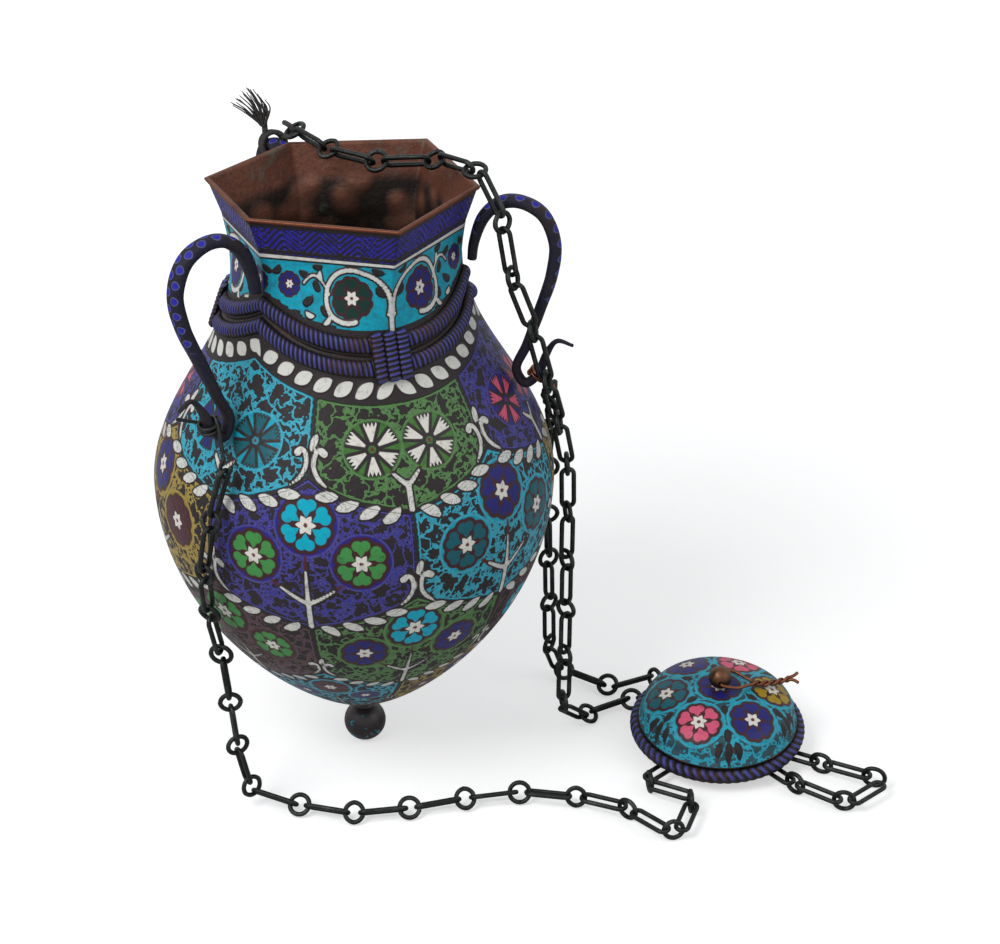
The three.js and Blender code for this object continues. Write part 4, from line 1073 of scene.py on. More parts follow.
class Graph:
    """A short way to write shader nodes: each call adds one and gives its output."""

    def __init__(self, tree):
        self.tree = tree

    def feed(self, socket, value):
        """Links a socket to an output, or sets its value. A colour may be given as three."""
        if isinstance(value, bpy.types.NodeSocket):
            self.tree.links.new(value, socket)
        elif socket.type == "RGBA" and len(value) == 3:
            socket.default_value = (*value, 1)
        else:
            socket.default_value = value

    def node(self, kind, inputs=(), output=0, **settings):
        made = self.tree.nodes.new(kind)
        for key, value in settings.items():
            setattr(made, key, value)
        for key, value in inputs.items() if isinstance(inputs, dict) else enumerate(inputs):
            self.feed(made.inputs[key], value)
        return made.outputs[output]

    def math(self, operation, *values, clamp=False):
        return self.node("ShaderNodeMath", values, operation=operation, use_clamp=clamp)

    def plus(self, a, b):
        return self.math("ADD", a, b)

    def minus(self, a, b):
        return self.math("SUBTRACT", a, b)

    def times(self, a, b):
        return self.math("MULTIPLY", a, b)

    def least(self, a, b):
        return self.math("MINIMUM", a, b)

    def most(self, a, b):
        return self.math("MAXIMUM", a, b)

    def ramp(self, value, slope, start, clamp=False):
        return self.math("MULTIPLY_ADD", value, slope, start, clamp=clamp)

    def apart(self, value, middle):
        return self.math("ABSOLUTE", self.minus(value, middle))

    def hypot(self, a, b):
        return self.math("SQRT", self.plus(self.times(a, a), self.times(b, b)))

    def less(self, value, edge, soft=0.35):
        """1 where a field is below an edge, 0 above, over a soft width."""
        return self.ramp(value, -1 / soft, edge / soft + 0.5, clamp=True)

    def more(self, value, edge, soft=0.35):
        """1 where a field is above an edge, 0 below, over a soft width."""
        return self.ramp(value, 1 / soft, 0.5 - edge / soft, clamp=True)

    def mix(self, factor, a, b):
        return self.node("ShaderNodeMix", {0: factor, 6: a, 7: b}, 2, data_type="RGBA")

    def layers(self, colour, *over):
        """A colour with others over it, each as far as its mask says."""
        for mask, upper in over:
            colour = self.mix(mask, colour, upper)
        return colour

    def attribute(self, name):
        return self.node("ShaderNodeAttribute", output="Vector", attribute_name=name)

    def parts(self, vector):
        return self.node("ShaderNodeSeparateXYZ", [vector]).node.outputs

    def place(self):
        return self.node("ShaderNodeTexCoord", output="Object")

    def noise(self, scale, detail, rough):
        return self.node("ShaderNodeTexNoise", {
            "Vector": self.place(), "Scale": scale, "Detail": detail, "Roughness": rough}, "Fac")

    def bump(self, height, distance, strength=0.6):
        return self.node("ShaderNodeBump", {"Strength": strength, "Distance": distance,
                                            "Height": height}, "Normal")

    def group(self, tree, **values):
        made = self.tree.nodes.new("ShaderNodeGroup")
        made.node_tree = tree
        for key, value in values.items():
            self.feed(made.inputs[key.replace("_", " ")], value)
        return made.outputs


def shader_group(name, inputs, outputs, write):
    """A shader node group, made once. write takes its graph and inputs and gives its outputs."""
    tree = bpy.data.node_groups.get(name)
    if tree:
        return tree
    tree = bpy.data.node_groups.new(name, "ShaderNodeTree")
    for label, kind, value in inputs:
        socket = tree.interface.new_socket(label, in_out="INPUT", socket_type=kind)
        socket.default_value = value
    for label, kind in outputs:
        tree.interface.new_socket(label, in_out="OUTPUT", socket_type=kind)
    graph = Graph(tree)
    entry = tree.nodes.new("NodeGroupInput")
    end = tree.nodes.new("NodeGroupOutput")
    for socket, value in zip(end.inputs, write(graph, entry.outputs)):
        tree.links.new(value, socket)
    return tree


def wear_group():
    """Rubbed and grimy places: large soft patches, fine specks and a height for the bump."""
    def write(g, given):
        large = g.noise(given["Scale"], 5.0, 0.6)
        fine = g.noise(g.times(given["Scale"], 14.0), 3.0, 0.6)
        return (g.ramp(large, 5.0, -2.6, clamp=True), g.ramp(fine, 6.0, -3.3, clamp=True),
                g.ramp(fine, 0.5, large))
    return shader_group("wear", [("Scale", "NodeSocketFloat", 40.0)],
                        [("Worn", "NodeSocketFloat"), ("Specks", "NodeSocketFloat"),
                         ("Height", "NodeSocketFloat")], write)


def metal_group():
    """Old metal: a colour that turns into a second one in worn patches, with dark specks."""
    def write(g, given):
        worn, specks, height = g.group(wear_group(), Scale=given["Scale"])
        colour = g.layers(given["Colour"], (worn, given["Worn colour"]),
                          (g.times(specks, 0.55), (0.012, 0.01, 0.01)))
        return colour, g.ramp(height, 0.22, given["Roughness"]), height
    return shader_group("old_metal", [
        ("Colour", "NodeSocketColor", (0.1, 0.1, 0.1, 1)),
        ("Worn colour", "NodeSocketColor", (0.2, 0.1, 0.1, 1)),
        ("Roughness", "NodeSocketFloat", 0.35), ("Scale", "NodeSocketFloat", 60.0)],
        [("Colour", "NodeSocketColor"), ("Roughness", "NodeSocketFloat"),
         ("Height", "NodeSocketFloat")], write)


def material(name, write):
    """A material with one glossy shader, made once. write takes the graph and gives what goes
    into the shader's inputs."""
    name = "lamp_" + name
    made = bpy.data.materials.get(name)
    if not made:
        made = bpy.data.materials.new(name)
        made.use_nodes = True
        g = Graph(made.node_tree)
        for label, value in write(g).items():
            g.feed(made.node_tree.nodes["Principled BSDF"].inputs[label], value)
    return made


def old_metal(name, colour, worn, rough, scale):
    """Bare old metal, with nothing but wear on it."""
    def write(g):
        out, rough_out, height = g.group(metal_group(), Colour=colour, Worn_colour=worn,
                                         Roughness=rough, Scale=scale)
        return {"Base Color": out, "Roughness": rough_out, "Metallic": 1.0,
                "Normal": g.bump(height, 0.0004)}
    return material(name, write)


def island_field(g, lines, away):
    """Crooked cells whose middles stand out, clear of lines, leaves and flowers."""
    crooked = g.node("ShaderNodeTexNoise", {"Vector": g.place(), "Scale": 210.0, "Detail": 2.0},
                     "Color")
    crooked = g.node("ShaderNodeVectorMath", (crooked, (0.016, 0.016, 0.016)),
                     operation="MULTIPLY")
    bent = g.node("ShaderNodeVectorMath", (g.place(), crooked), operation="ADD")
    cells = g.node("ShaderNodeTexVoronoi", {"Vector": bent, "Scale": 106.0}, "Distance",
                   feature="DISTANCE_TO_EDGE")
    clear = g.least(g.minus(lines, 3.6), g.ramp(away, 9.0, -9.9))
    return g.least(g.ramp(cells, 8.0, -0.72), clear)


def flower_fields(g, x, y, away, carnation):
    """Six hearts, or a carnation's six long notched petals, and the star in the middle. The
    angle is folded into one sixth, from a petal's axis outward."""
    sixth = math.pi / 3
    angle = g.math("ARCTAN2", x, g.times(y, -1.0))
    fold = g.apart(g.math("FLOORED_MODULO", g.plus(angle, sixth / 2), sixth), sixth / 2)
    side = g.times(away, g.math("SINE", fold))
    out = g.times(away, g.math("COSINE", fold))
    lobe = g.minus(g.hypot(g.minus(side, 0.13), g.minus(out, 0.66)), 0.21)
    point = g.most(g.plus(side, g.ramp(out, -0.62, 0.13)), g.minus(out, 0.68))
    heart = g.least(lobe, point)
    tooth = g.apart(g.math("FRACT", g.times(side, 7.0)), 0.5)
    slim = g.most(g.ramp(out, -0.33, g.plus(side, 0.03)), g.ramp(tooth, 0.36, g.minus(out, 1.0)))
    slim = g.most(slim, g.minus(0.26, out))
    petal = g.plus(heart, g.times(carnation, g.minus(slim, heart)))
    star = g.plus(g.ramp(side, 0.5, out),
                  g.ramp(fold, -0.34, g.ramp(carnation, 0.3, -0.21)))
    return petal, star


def enamel():
    """Enamel in cells of dark copper: grounds with dark islands and leaves, rosettes of six
    hearts and carnations round a six-rayed star, red-brown stems, metal lines and white leaves,
    read from the fields."""
    def write(g):
        own = looks()
        metal, milky = tuple(own.metal), tuple(own.white)
        lines, white, dark = g.parts(g.attribute("marks"))
        stems, carnation, islands = g.parts(g.attribute("stems"))
        x, y, away = g.parts(g.attribute("bloom"))
        ground = g.attribute("ground")
        worn, specks, height = g.group(wear_group(), Scale=26.0)
        mottle = g.noise(330.0, 3.0, 0.6)
        ragged = g.ramp(g.noise(190.0, 3.0, 0.6), -2.6, 1.0)
        island = island_field(g, lines, away)
        isle = g.times(g.more(island, 0.12), islands)
        shore = g.times(g.more(island, -0.55, 0.5), islands)
        base = g.layers(
            ground, (g.ramp(mottle, 1.7, -0.55, clamp=True), g.mix(0.6, ground, metal)),
            (g.times(shore, 0.5), g.mix(0.1, ground, (1, 1, 1))), (isle, metal),
            (g.less(g.plus(dark, ragged), 0.25), metal))
        petal, star = flower_fields(g, x, y, away, carnation)
        flower = g.layers(
            base, (g.less(petal, 0.12, 0.03), g.mix(carnation, (0.045, 0.014, 0.016), metal)),
            (g.less(petal, -0.02, 0.03), g.attribute("petals")),
            (g.less(star, 0.035, 0.03), (0.05, 0.014, 0.016)),
            (g.less(star, 0.0, 0.03), milky), (g.less(away, 0.085, 0.03), (0.12, 0.03, 0.03)))
        line = g.less(g.plus(lines, g.times(ragged, 0.4)), 2.6)
        pale = g.less(white, 0.0)
        low = g.ramp(g.parts(g.place())[2], -9.0, 1.55, clamp=True)
        bare = g.mix(g.times(low, worn), metal, (0.10, 0.035, 0.018))
        lost = g.ramp(g.times(worn, g.noise(95.0, 4.0, 0.65)), 3.0, -1.35, clamp=True)
        glazed = g.most(g.minus(1.0, g.most(line, g.most(isle, g.less(dark, 0.0)))), pale)
        base = g.layers(
            base, (g.less(stems, 0.0), (0.09, 0.02, 0.02)), (g.less(away, 1.02, 0.06), flower),
            (line, metal), (g.less(white, 0.85), (0.03, 0.02, 0.022)),
            (pale, g.mix(g.times(mottle, 0.5), milky, (0.45, 0.5, 0.52))),
            (g.times(g.minus(1.0, glazed), low), bare), (lost, bare),
            (g.times(specks, 0.35), (0.02, 0.016, 0.016)))
        relief = g.plus(g.times(height, 0.5), g.times(g.less(white, 0.4, 0.8), 0.35))
        ridge = g.most(g.less(dark, 0.2, 0.6), g.most(isle, line))
        return {"Base Color": base,
                "Roughness": g.ramp(height, 0.3, g.ramp(glazed, -0.12, 0.3)),
                "Metallic": g.ramp(glazed, -0.15, 0.15), "Specular IOR Level": 0.2,
                "Normal": g.bump(g.plus(relief, g.times(ridge, 0.45)), 0.0015, 0.9)}
    return material("enamel", write)


def inside_copper():
    """The inside: bare red-brown copper in the collar; below it near-black painted shade of the
    deep inside, over a beaten surface whose raised spots stay lighter copper; and grey-green bloom
    in places."""
    def write(g):
        colour, rough, height = g.group(metal_group(), Colour=tuple(looks().copper),
                                        Worn_colour=(0.05, 0.018, 0.012), Roughness=0.34,
                                        Scale=30.0)
        # painted shade: below the collar the inside is coloured near black, standing in for the
        # shade deep in the vessel; the raised spots stay lighter copper
        low = g.less(g.parts(g.place())[2], 0.295, 0.006)
        scrolls = g.node("ShaderNodeTexVoronoi", {"Vector": g.place(), "Scale": 75.0}, "Distance",
                         feature="SMOOTH_F1")
        raised = g.ramp(scrolls, -3.2, 1.55, clamp=True)
        bloom = g.ramp(g.noise(60.0, 5.0, 0.7), 4.0, -2.25, clamp=True)
        colour = g.layers(colour, (low, g.mix(raised, (0.016, 0.01, 0.008), (0.2, 0.08, 0.05))),
                          (g.times(bloom, 0.6), (0.16, 0.2, 0.15)))
        return {"Base Color": colour, "Roughness": g.plus(rough, 0.1), "Metallic": 0.35,
                "Normal": g.bump(g.plus(height, g.times(low, raised)), 0.0014)}
    return material("inside_copper", write)


def rim_copper():
    return old_metal("rim_copper", (0.15, 0.055, 0.032), (0.05, 0.018, 0.012), 0.36, 45.0)


def rope_material():
    """Strands of dark copper with a blue stroke along each and dark grooves between."""
    def write(g):
        phase, share, _ = g.parts(g.attribute("rope"))
        strand = g.apart(g.math("FRACT", phase), 0.5)
        worn, _, height = g.group(wear_group(), Scale=55.0)
        blue = g.times(g.less(strand, 0.19, 0.08), g.less(g.apart(share, 0.5), 0.28, 0.06))
        blue = g.times(blue, g.ramp(worn, -0.6, 0.85))
        colour = g.layers((0.02, 0.016, 0.018), (g.more(strand, 0.4, 0.08), (0.006, 0.005, 0.006)),
                          (worn, (0.04, 0.018, 0.014)), (blue, (0.05, 0.055, 0.3)))
        round_strand = g.minus(1.0, g.times(strand, g.times(strand, 4.0)))
        return {"Base Color": colour, "Roughness": g.ramp(height, 0.3, 0.3),
                "Metallic": g.ramp(blue, -0.3, 0.3), "Specular IOR Level": 0.3,
                "Normal": g.bump(g.ramp(height, 0.2, round_strand), 0.0007)}
    return material("rope_strands", write)


DOT_PITCH = 6.9
DOT_ROWS = ((2.0, 0.0), (-2.0, 0.5))


def handle_material():
    """Blue-black enamel on the bar, with two staggered rows of ringed dots on its outer face."""
    def write(g):
        length, across, facing_out = g.parts(g.attribute("bar"))
        worn, specks, height = g.group(wear_group(), Scale=50.0)
        near = g.least(*(g.hypot(
            g.times(g.minus(g.math("FRACT", g.ramp(length, 1 / DOT_PITCH, shift)), 0.5), DOT_PITCH),
            g.minus(across, aside)) for aside, shift in DOT_ROWS))
        there = g.times(g.more(facing_out, -0.1, 0.2),
                        g.times(g.less(length, 98.0, 4.0), g.more(length, 14.0, 2.0)))
        dot = g.times(g.less(near, 1.45, 0.3), there)
        ring = g.times(g.times(g.less(near, 1.95, 0.3), g.more(near, 1.5, 0.3)), there)
        colour = g.layers((0.014, 0.014, 0.026), (worn, (0.03, 0.022, 0.018)),
                          (g.times(ring, 0.75), (0.12, 0.13, 0.3)), (dot, (0.02, 0.022, 0.34)),
                          (g.times(specks, 0.5), (0.05, 0.03, 0.022)))
        return {"Base Color": colour, "Roughness": g.ramp(height, 0.3, 0.34),
                "Metallic": 0.0, "Specular IOR Level": 0.14,
                "Normal": g.bump(g.ramp(ring, 0.5, height), 0.0005)}
    return material("handle_enamel", write)


def ball_material():
    """Black enamel, rubbed to red-brown, with flecks of turquoise and white left on it."""
    def write(g):
        worn, _, height = g.group(wear_group(), Scale=90.0)
        flecks = g.ramp(g.noise(240.0, 2.0, 0.5), 12.0, -7.6, clamp=True)
        colour = g.layers((0.02, 0.016, 0.018), (worn, (0.07, 0.028, 0.018)),
                          (flecks, g.mix(worn, tuple(looks().turquoise), (0.4, 0.42, 0.4))))
        return {"Base Color": colour, "Roughness": g.ramp(height, 0.3, 0.15), "Metallic": 0.3,
                "Normal": g.bump(height, 0.0006)}
    return material("ball_enamel", write)


def iron_material():
    """Blackened iron wire with a slight grey-green bloom."""
    def write(g):
        colour, rough, height = g.group(metal_group(), Colour=tuple(looks().iron),
                                        Worn_colour=(0.045, 0.05, 0.045), Roughness=0.26,
                                        Scale=110.0)
        bloom = g.ramp(g.noise(75.0, 4.0, 0.6), 4.0, -2.3, clamp=True)
        return {"Base Color": g.mix(g.times(bloom, 0.5), colour, (0.09, 0.115, 0.09)),
                "Roughness": rough, "Metallic": 0.75, "Normal": g.bump(height, 0.0005)}
    return material("iron_wire", write)


def wire_material():
    return old_metal("copper_wire", (0.17, 0.065, 0.035), (0.07, 0.035, 0.025), 0.25, 150.0)


def bead_material():
    return old_metal("bronze_bead", (0.11, 0.055, 0.032), (0.05, 0.03, 0.02), 0.22, 120.0)


def washer_material():
    return old_metal("washer_copper", (0.22, 0.1, 0.06), (0.1, 0.05, 0.03), 0.35, 100.0)


def cord_material():
    """Dark twisted cord: plies along the strand and loose fibres."""
    def write(g):
        length, turn, _ = g.parts(g.attribute("wire"))
        ply = g.apart(g.math("FRACT", g.ramp(length, 0.42, turn)), 0.5)
        fibre = g.noise(900.0, 3.0, 0.7)
        colour = g.layers((0.008, 0.007, 0.008),
                          (g.ramp(ply, 1.4, 0.1, clamp=True), (0.03, 0.026, 0.027)),
                          (fibre, (0.05, 0.045, 0.04)))
        return {"Base Color": colour, "Roughness": 0.9,
                "Normal": g.bump(g.ramp(ply, 1.5, fibre), 0.0005)}
    return material("tie_cord", write)


# Pieces

def carried(vectors):
    """Side directions along a path that turn no more than the path does."""
    sides = np.zeros_like(vectors)
    start = np.array([0, 0, 1.0]) if abs(vectors[0, 2]) < 0.8 else np.array([1.0, 0, 0])
    sides[0] = square_to(start, vectors[0])
    for i in range(1, len(vectors)):
        sides[i] = square_to(sides[i - 1], vectors[i])
    return sides


def wire(path, radius, sides=12):
    return tube(path, radius, carried(unit(np.gradient(path, axis=0))), sides)


def build_ball(materials):
    """A ball turned with the stem above it, which goes up through the foot of the bowl."""
    a = np.linspace(-math.pi / 2, math.acos(STEM_COLLAR / BALL_RADIUS), 40)
    arc = np.stack([BALL_RADIUS * np.cos(a), BALL_RADIUS * (1 + np.sin(a))], axis=-1)
    arc[0, 0] = 0
    rivet = BOWL_FOOT + WALL + SEAT_GAP + WASHER_HEIGHT + SEAT_GAP
    t = np.linspace(0, math.pi / 2, 8)
    head = np.stack([RIVET_RADIUS * np.cos(t), rivet + 1.6 * np.sin(t)], axis=-1)
    head[-1, 0] = 0
    stem = [[STEM_COLLAR, BOWL_FOOT - SEAT_GAP], [STEM_RADIUS, BOWL_FOOT - SEAT_GAP],
            [STEM_RADIUS, rivet], [RIVET_RADIUS, rivet]]
    surface("ball_finial_enamel", turned(np.concatenate([arc, stem, head]), 64),
            "lamp", ["ball_finial"], None, materials)


def build_washer(materials):
    """A ring with bevelled outer edges, inside the bowl under the rivet's head."""
    low = BOWL_FOOT + WALL + SEAT_GAP
    inner, outer, high = STEM_RADIUS + SEAT_GAP, WASHER_RADIUS, low + WASHER_HEIGHT
    profile = [[inner, low], [outer - 0.2, low], [outer, low + 0.2], [outer, high - 0.2],
               [outer - 0.2, high], [inner, high], [inner, low]]
    surface("finial_washer_ring", turned(profile, 40), "lamp",
            ["finial_washer"], None, materials)


# Each tie's thickness in millimetres, and its place as a share of the handle's length
TIES = {"left": (2.0, 0.865), "right": (1.6, 0.845), "back": (2.6, 0.235)}
# The hook round a link's end: millimetres before the end's bar, or reaches past it, and aside
HOOK = ((5, 1), (1.5, 1), (-0.72, 0.7), (-1, 0), (-0.72, -0.7), (1.5, -1), (3.4, -1))


def tie_path(side, diameter, place, pivots, normal, turns=2.25, spacing=0.35):
    """Turns round the handle's curl, then a hook under the end of the chain's last link."""
    middle, across, out, length = handle_frame(side, place)
    radius = HANDLE_WIDTH / 2 * handle_size(place) * 0.98 + 0.25 + diameter / 2
    pitch = diameter + spacing
    last = pivots[-1]
    along = unit(last - pivots[-2])
    bar = last + along * WIRE / 2
    to_bar = bar - middle[0]
    flat = normal * (-np.sign(normal @ to_bar) or 1)
    start = math.atan2(to_bar @ out[0], to_bar @ across[0])
    turn = np.linspace(-turns, 0, round(turns * 14) + 1)
    a = start + turn * FULL - math.pi / 2
    point, across, out, _ = handle_frame(side, place + (turn + turns / 2) * pitch / length)
    coil = point + across * (radius * np.cos(a))[:, None] + out * (radius * np.sin(a))[:, None]
    reach = WIRE / 2 * 1.25 + SEAT_GAP + diameter / 2
    hook = [bar + along * (forth if forth > 0 else forth * reach) + flat * aside * reach
            for forth, aside in HOOK]
    return coil, np.array(hook)


def build_ties(ends, iron, copper, cord):
    """Iron wire with a loose tail on the left, copper wire on the right, and at the back a cord
    with a frayed end."""
    for side, slot, materials in (("left", "chain_iron", iron), ("right", "loop_wire", copper),
                                  ("back", "tie_cord", cord)):
        diameter, place = TIES[side]
        coil, hook = tie_path(side, diameter, place, *ends[side])
        path = evenly(np.concatenate([coil, hook]), 200, 2000)
        grids = [wire(path, diameter / 2, 14)]
        if side == "left":
            tail = evenly(coil[0] + np.array([[0, 0, 0], [-3, -0.5, 0.6], [-9, -1.5, 2.0],
                                              [-15, -2, 3.4]]), 30)
            grids.append(wire(tail, diameter / 2 * 0.85, 12))
        if side == "back":
            grids += frayed_end(coil[-1], diameter)
        joined(f"tie_{side}_wire", grids, "lamp", [f"tie_{side}"], materials)


def frayed_end(start, diameter):
    """The cord's free end, standing up behind the collar: a thick part that opens into loose
    plies, each leaning its own way."""
    foot = np.array([-43.6, 72.0, 300.0])
    knot = evenly(np.array([start, lerp(start, foot, 0.5) + [0, 1, 2], foot, foot + [0.5, 0, 8],
                            foot + [0.3, 0, 15]]), 50)
    grids = [wire(knot, diameter / 2 * 1.15, 14)]
    for n in range(26):
        spread = (n / 25 - 0.5)
        deep = math.sin(n * 2.4)
        top = np.array([-50.5 + 17 * spread, 72 + 3.5 * deep,
                        333.5 - 17 * abs(spread) - 2.5 * abs(math.sin(n * 5.1))])
        base = foot + np.array([1.1 * math.cos(n * 2.4), 1.1 * deep, 13.0])
        bow = lerp(base, top, 0.55) + np.array([3.5 * (spread + 0.25), deep, 1.5])
        ply = evenly(np.array([base, bow, top]), 22)
        grids.append(wire(ply, np.linspace(0.62, 0.22, 22), 7))
    return grids


def dome_arc(radius, start, rise, hole, steps):
    """Profile of an arch from its edge in to a hole in the middle."""
    share = 1 - (1 - hole / radius) * np.linspace(0, 1, steps) ** 0.8
    up = (1 - share ** DOME_SQUARENESS) ** (1 / DOME_SQUARENESS)
    return np.stack([radius * share, start + rise * up], axis=-1)


DOME_TOP = DOME_START + DOME_RISE
KNOB_CENTRE = DOME_TOP + SEAT_GAP + KNOB_RADIUS * 0.94


def build_dome(materials):
    """The dome turned from its profile: the skirt, the edge, the squared-off arch, and back
    inside one wall thickness down."""
    outside = dome_arc(DOME_RADIUS, DOME_START, DOME_RISE, DOME_HOLE, 90)
    inside = dome_arc(DOME_RADIUS - CAP_WALL - 1, DOME_START, DOME_RISE - CAP_WALL, DOME_HOLE,
                      24)[::-1]
    skirt = np.array([[SKIRT_RADIUS - CAP_WALL, -2.6], [SKIRT_RADIUS, -2.6],
                      [SKIRT_RADIUS, 3.8], [41.2, 3.8], [41.2, 4.7]])
    profile = np.concatenate([skirt, outside, inside, skirt[:1]])
    grid = turned(profile, DOME_COLUMNS)
    flat = np.interp(np.arange(len(profile)), np.arange(4, 4 + len(outside)), np.cumsum(
        np.hypot(*np.diff(np.concatenate([outside, [[0, DOME_TOP]]]), axis=0).T)[::-1])[::-1])
    laid = flat[:, None, None] * unit(grid[..., :2])
    fields = cap_fields(laid[..., 0], laid[..., 1], flat[0])
    places = np.ones((grid.shape[0] - 1, grid.shape[1] - 1))
    places[4:4 + len(outside)] = 0
    surface("cap_dome_enamel", on_cap(grid), "lamp", ["cap_dome"], fields, materials,
            places)


def build_cap_rope(materials):
    """A ring of round section whose skin swells with each strand of its lay."""
    turn = np.linspace(0, 360, 721)[None]
    a = np.linspace(0, FULL, 21)[:, None]
    phase = 62 * turn / 360 + 0.6 * np.sin(a)
    swell = 1 - 0.1 * (1 - np.abs(np.sin(np.pi * phase)))
    half = CAP_ROPE / 2
    grid = around(turn, CAP_ROPE_RADIUS + half * np.cos(a) * swell,
                  half * np.sin(a) * swell - SEAT_GAP)
    data = rows_of(phase, 0.5 + 0.45 * np.sin(a - math.pi / 4), 0)
    surface("cap_rope_strands", on_cap(grid), "lamp", ["cap_rope_edge"],
            {"rope": data}, materials)


def build_bead(materials):
    """The bead and its pin, with the bore across it cut clean through."""
    a = np.linspace(-math.pi / 2 + 0.36, math.pi / 2, 30)
    arc = np.stack([KNOB_RADIUS * np.cos(a), KNOB_CENTRE + KNOB_RADIUS * np.sin(a)], axis=-1)
    arc[-1, 0] = 0
    under = DOME_TOP - CAP_WALL - SEAT_GAP
    pin = [[0, under - 1.5], [2.9, under - 1.2], [3.6, under], [1.5, under],
           [1.5, KNOB_CENTRE - KNOB_RADIUS * 0.94]]
    piece = surface("knob_bead_bronze", turned(np.concatenate([pin, arc]), 64),
                    "lamp", ["knob_bead"], None, materials)
    bore = turned([[0, -10], [1.3, -10], [1.3, 10], [0, 10]], 32) @ np.array(
        Matrix.Rotation(math.pi / 2, 3, "X")).T + np.array([0, 0, KNOB_CENTRE])
    cutter = surface("bore_cutter", bore, "lamp")
    cut = piece.modifiers.new("Bore", "BOOLEAN")
    cut.operation, cut.object, cut.solver = "DIFFERENCE", cutter, "EXACT"
    bpy.context.view_layer.update()
    whole = bpy.data.meshes.new_from_object(piece.evaluated_get(
        bpy.context.evaluated_depsgraph_get()))
    piece.modifiers.remove(cut)
    piece.data = whole
    m = cap_matrix()
    m[:3, 3] *= MM
    whole.transform(Matrix(m.tolist()))
    bpy.data.objects.remove(cutter)
    whole.shade_smooth()


def loop_path():
    """The wire through the bead: out each side, together, and twisted round each other."""
    half_wire = LOOP_WIRE / 2
    side = KNOB_RADIUS + SEAT_GAP + half_wire + 0.2
    lay = half_wire + 0.16
    half = np.array([[0, 0, 0], [0, KNOB_RADIUS * 0.62, 0], [0.5, side - 0.5, 0], [2.6, side, 0],
                     [LOOP_LENGTH * 0.55, side * 0.93, 0], [LOOP_LENGTH * 0.84, side * 0.5, 0]])
    share = np.linspace(0, 1, round(TWIST_TURNS * 6) + 1)
    a = math.pi / 2 + share * TWIST_TURNS * FULL

    def strand(sign):
        twist = np.stack([LOOP_LENGTH + 1.4 + TWIST_LENGTH * share,
                          sign * lay * np.sin(a) + 6 * share ** 1.6,
                          sign * lay * np.cos(a) + 2.5 * share ** 2], axis=-1)
        apart = sign * np.sign(math.sin(a[-1]))
        ends = twist[-1] + np.array([[2.2, apart * 1.0 + 0.4, 0.4],
                                     [4.2, apart * 2.4 + 0.7, 0.8 + apart * 0.6]])
        return np.concatenate([half * [1, sign, 1], twist, ends])
    return evenly(np.concatenate([strand(-1)[::-1], strand(1)[1:]]), 420, 6000)


def build_loop(materials):
    droop = np.array(Matrix.Rotation(math.radians(LOOP_DROOP), 3, "Y"))
    path = loop_path() @ droop.T + np.array([0, 0, KNOB_CENTRE])
    grid, data = wire(on_cap(path), LOOP_WIRE / 2, 14)
    surface("hang_loop_wire", grid, "wire_loop", ["hang_loop"], data, materials)


def build_eyes(materials):
    """Upright loops of wire under the cap's edge."""
    for name, degrees in EYE_DEGREES.items():
        a = np.linspace(0, FULL, 41)[:-1]
        path = around(degrees, EYE_CENTRE + (EYE_RADIUS - EYE_WIRE / 2) * np.cos(a),
                      (EYE_TOP - EYE_DROP + (EYE_TOP + EYE_DROP) * np.sin(a)) / 2)
        grid, data = tube(path, EYE_WIRE / 2, around(degrees + 90, 1, 0), 12, closed=True)
        surface(f"cap_eye_{name}_ring", on_cap(grid), "lamp", [f"cap_eye_{name}"],
                data, materials)


CHAINS = {
    "left": dict(
        steps=((225, 5.8), (280, UPRIGHT + 0.6), (335, UPRIGHT), (273, UPRIGHT), (251, UPRIGHT),
               (185, UPRIGHT), (135, UPRIGHT), (140, UPRIGHT), (158, UPRIGHT)),
        route=((108, -63, UPRIGHT), (81.5, -59, UPRIGHT), (54.8, -63, FLAT + 0.5),
               (26.9, -70, FLAT), (-2.4, -74, FLAT), (-29.8, -67, FLAT), (-45, -61.5, FLAT),
               (-51.5, -60.5, 8.5), (-55.5, -61.5, 17), (-57.8, -63.5, 30), (-60, -68, 65),
               (-62.3, -69, 93), (-65.8, -74.5, 121), (-65.5, -81, 137.5), (-65.5, -84.5, 151),
               (-63.5, -86, 167), (-60, -83.5, 180), (-55.5, -82, 194.5), (-52, -79, 206),
               (-50, -77.5, 214), (-50, -76, 240)),
        turn=0, count=35, starts=(0,)),
    "right": dict(
        steps=((122, 9),),
        route=((150, 46, FLAT + 1.5), (133, 38, FLAT), (119, 47, FLAT), (106, 55, FLAT),
               (100, 52, 10), (98, 44, 30), (97.5, 42, 60), (97, 40, 90), (96.5, 38, 120),
               (96.5, 37, 145), (97.5, 33, 160), (98.5, 24.5, 176), (96.5, 13.5, 190),
               (96.5, -0.5, 203), (96, -6, 212), (95, -8, 240)),
        turn=35, count=21, starts=(0,)),
    "back": dict(
        steps=((220, UPRIGHT), (168, UPRIGHT), (146, UPRIGHT + 0.7), (130, 5.5), (128.3, 5.3)),
        route=((199, -25, UPRIGHT + 2), (188, -12, UPRIGHT), (170, 8, UPRIGHT), (150, 25, FLAT),
               (129, 22, FLAT), (115, 9, FLAT), (106, 1, FLAT + 3), (104.5, -2, 25), (105, -1, 60),
               (105.3, 0, 113), (105.5, 0, 145), (105, -2, 162), (102.5, -6, 180),
               (98.5, -12, 198), (94.5, -19, 216), (87, -19.5, 245), (77.5, -19.5, 272),
               (74.5, -19, 290), (73, -18.8, 300), (71.5, -17.8, 309), (66, -13.5, 317),
               (58, -5, 319.5), (48, 8, 318.5), (37, 13.5, 316), (15, 18, 314),
               (-5, 29, 314.5), (-24, 50.5, 317), (-33, 66.5, 313.5), (-38, 76, 306),
               (-42, 80, 250)),
        turn=0, count=46, starts=(0, 2, 3, 4, 5, 8, 12, 16, 18)),
}
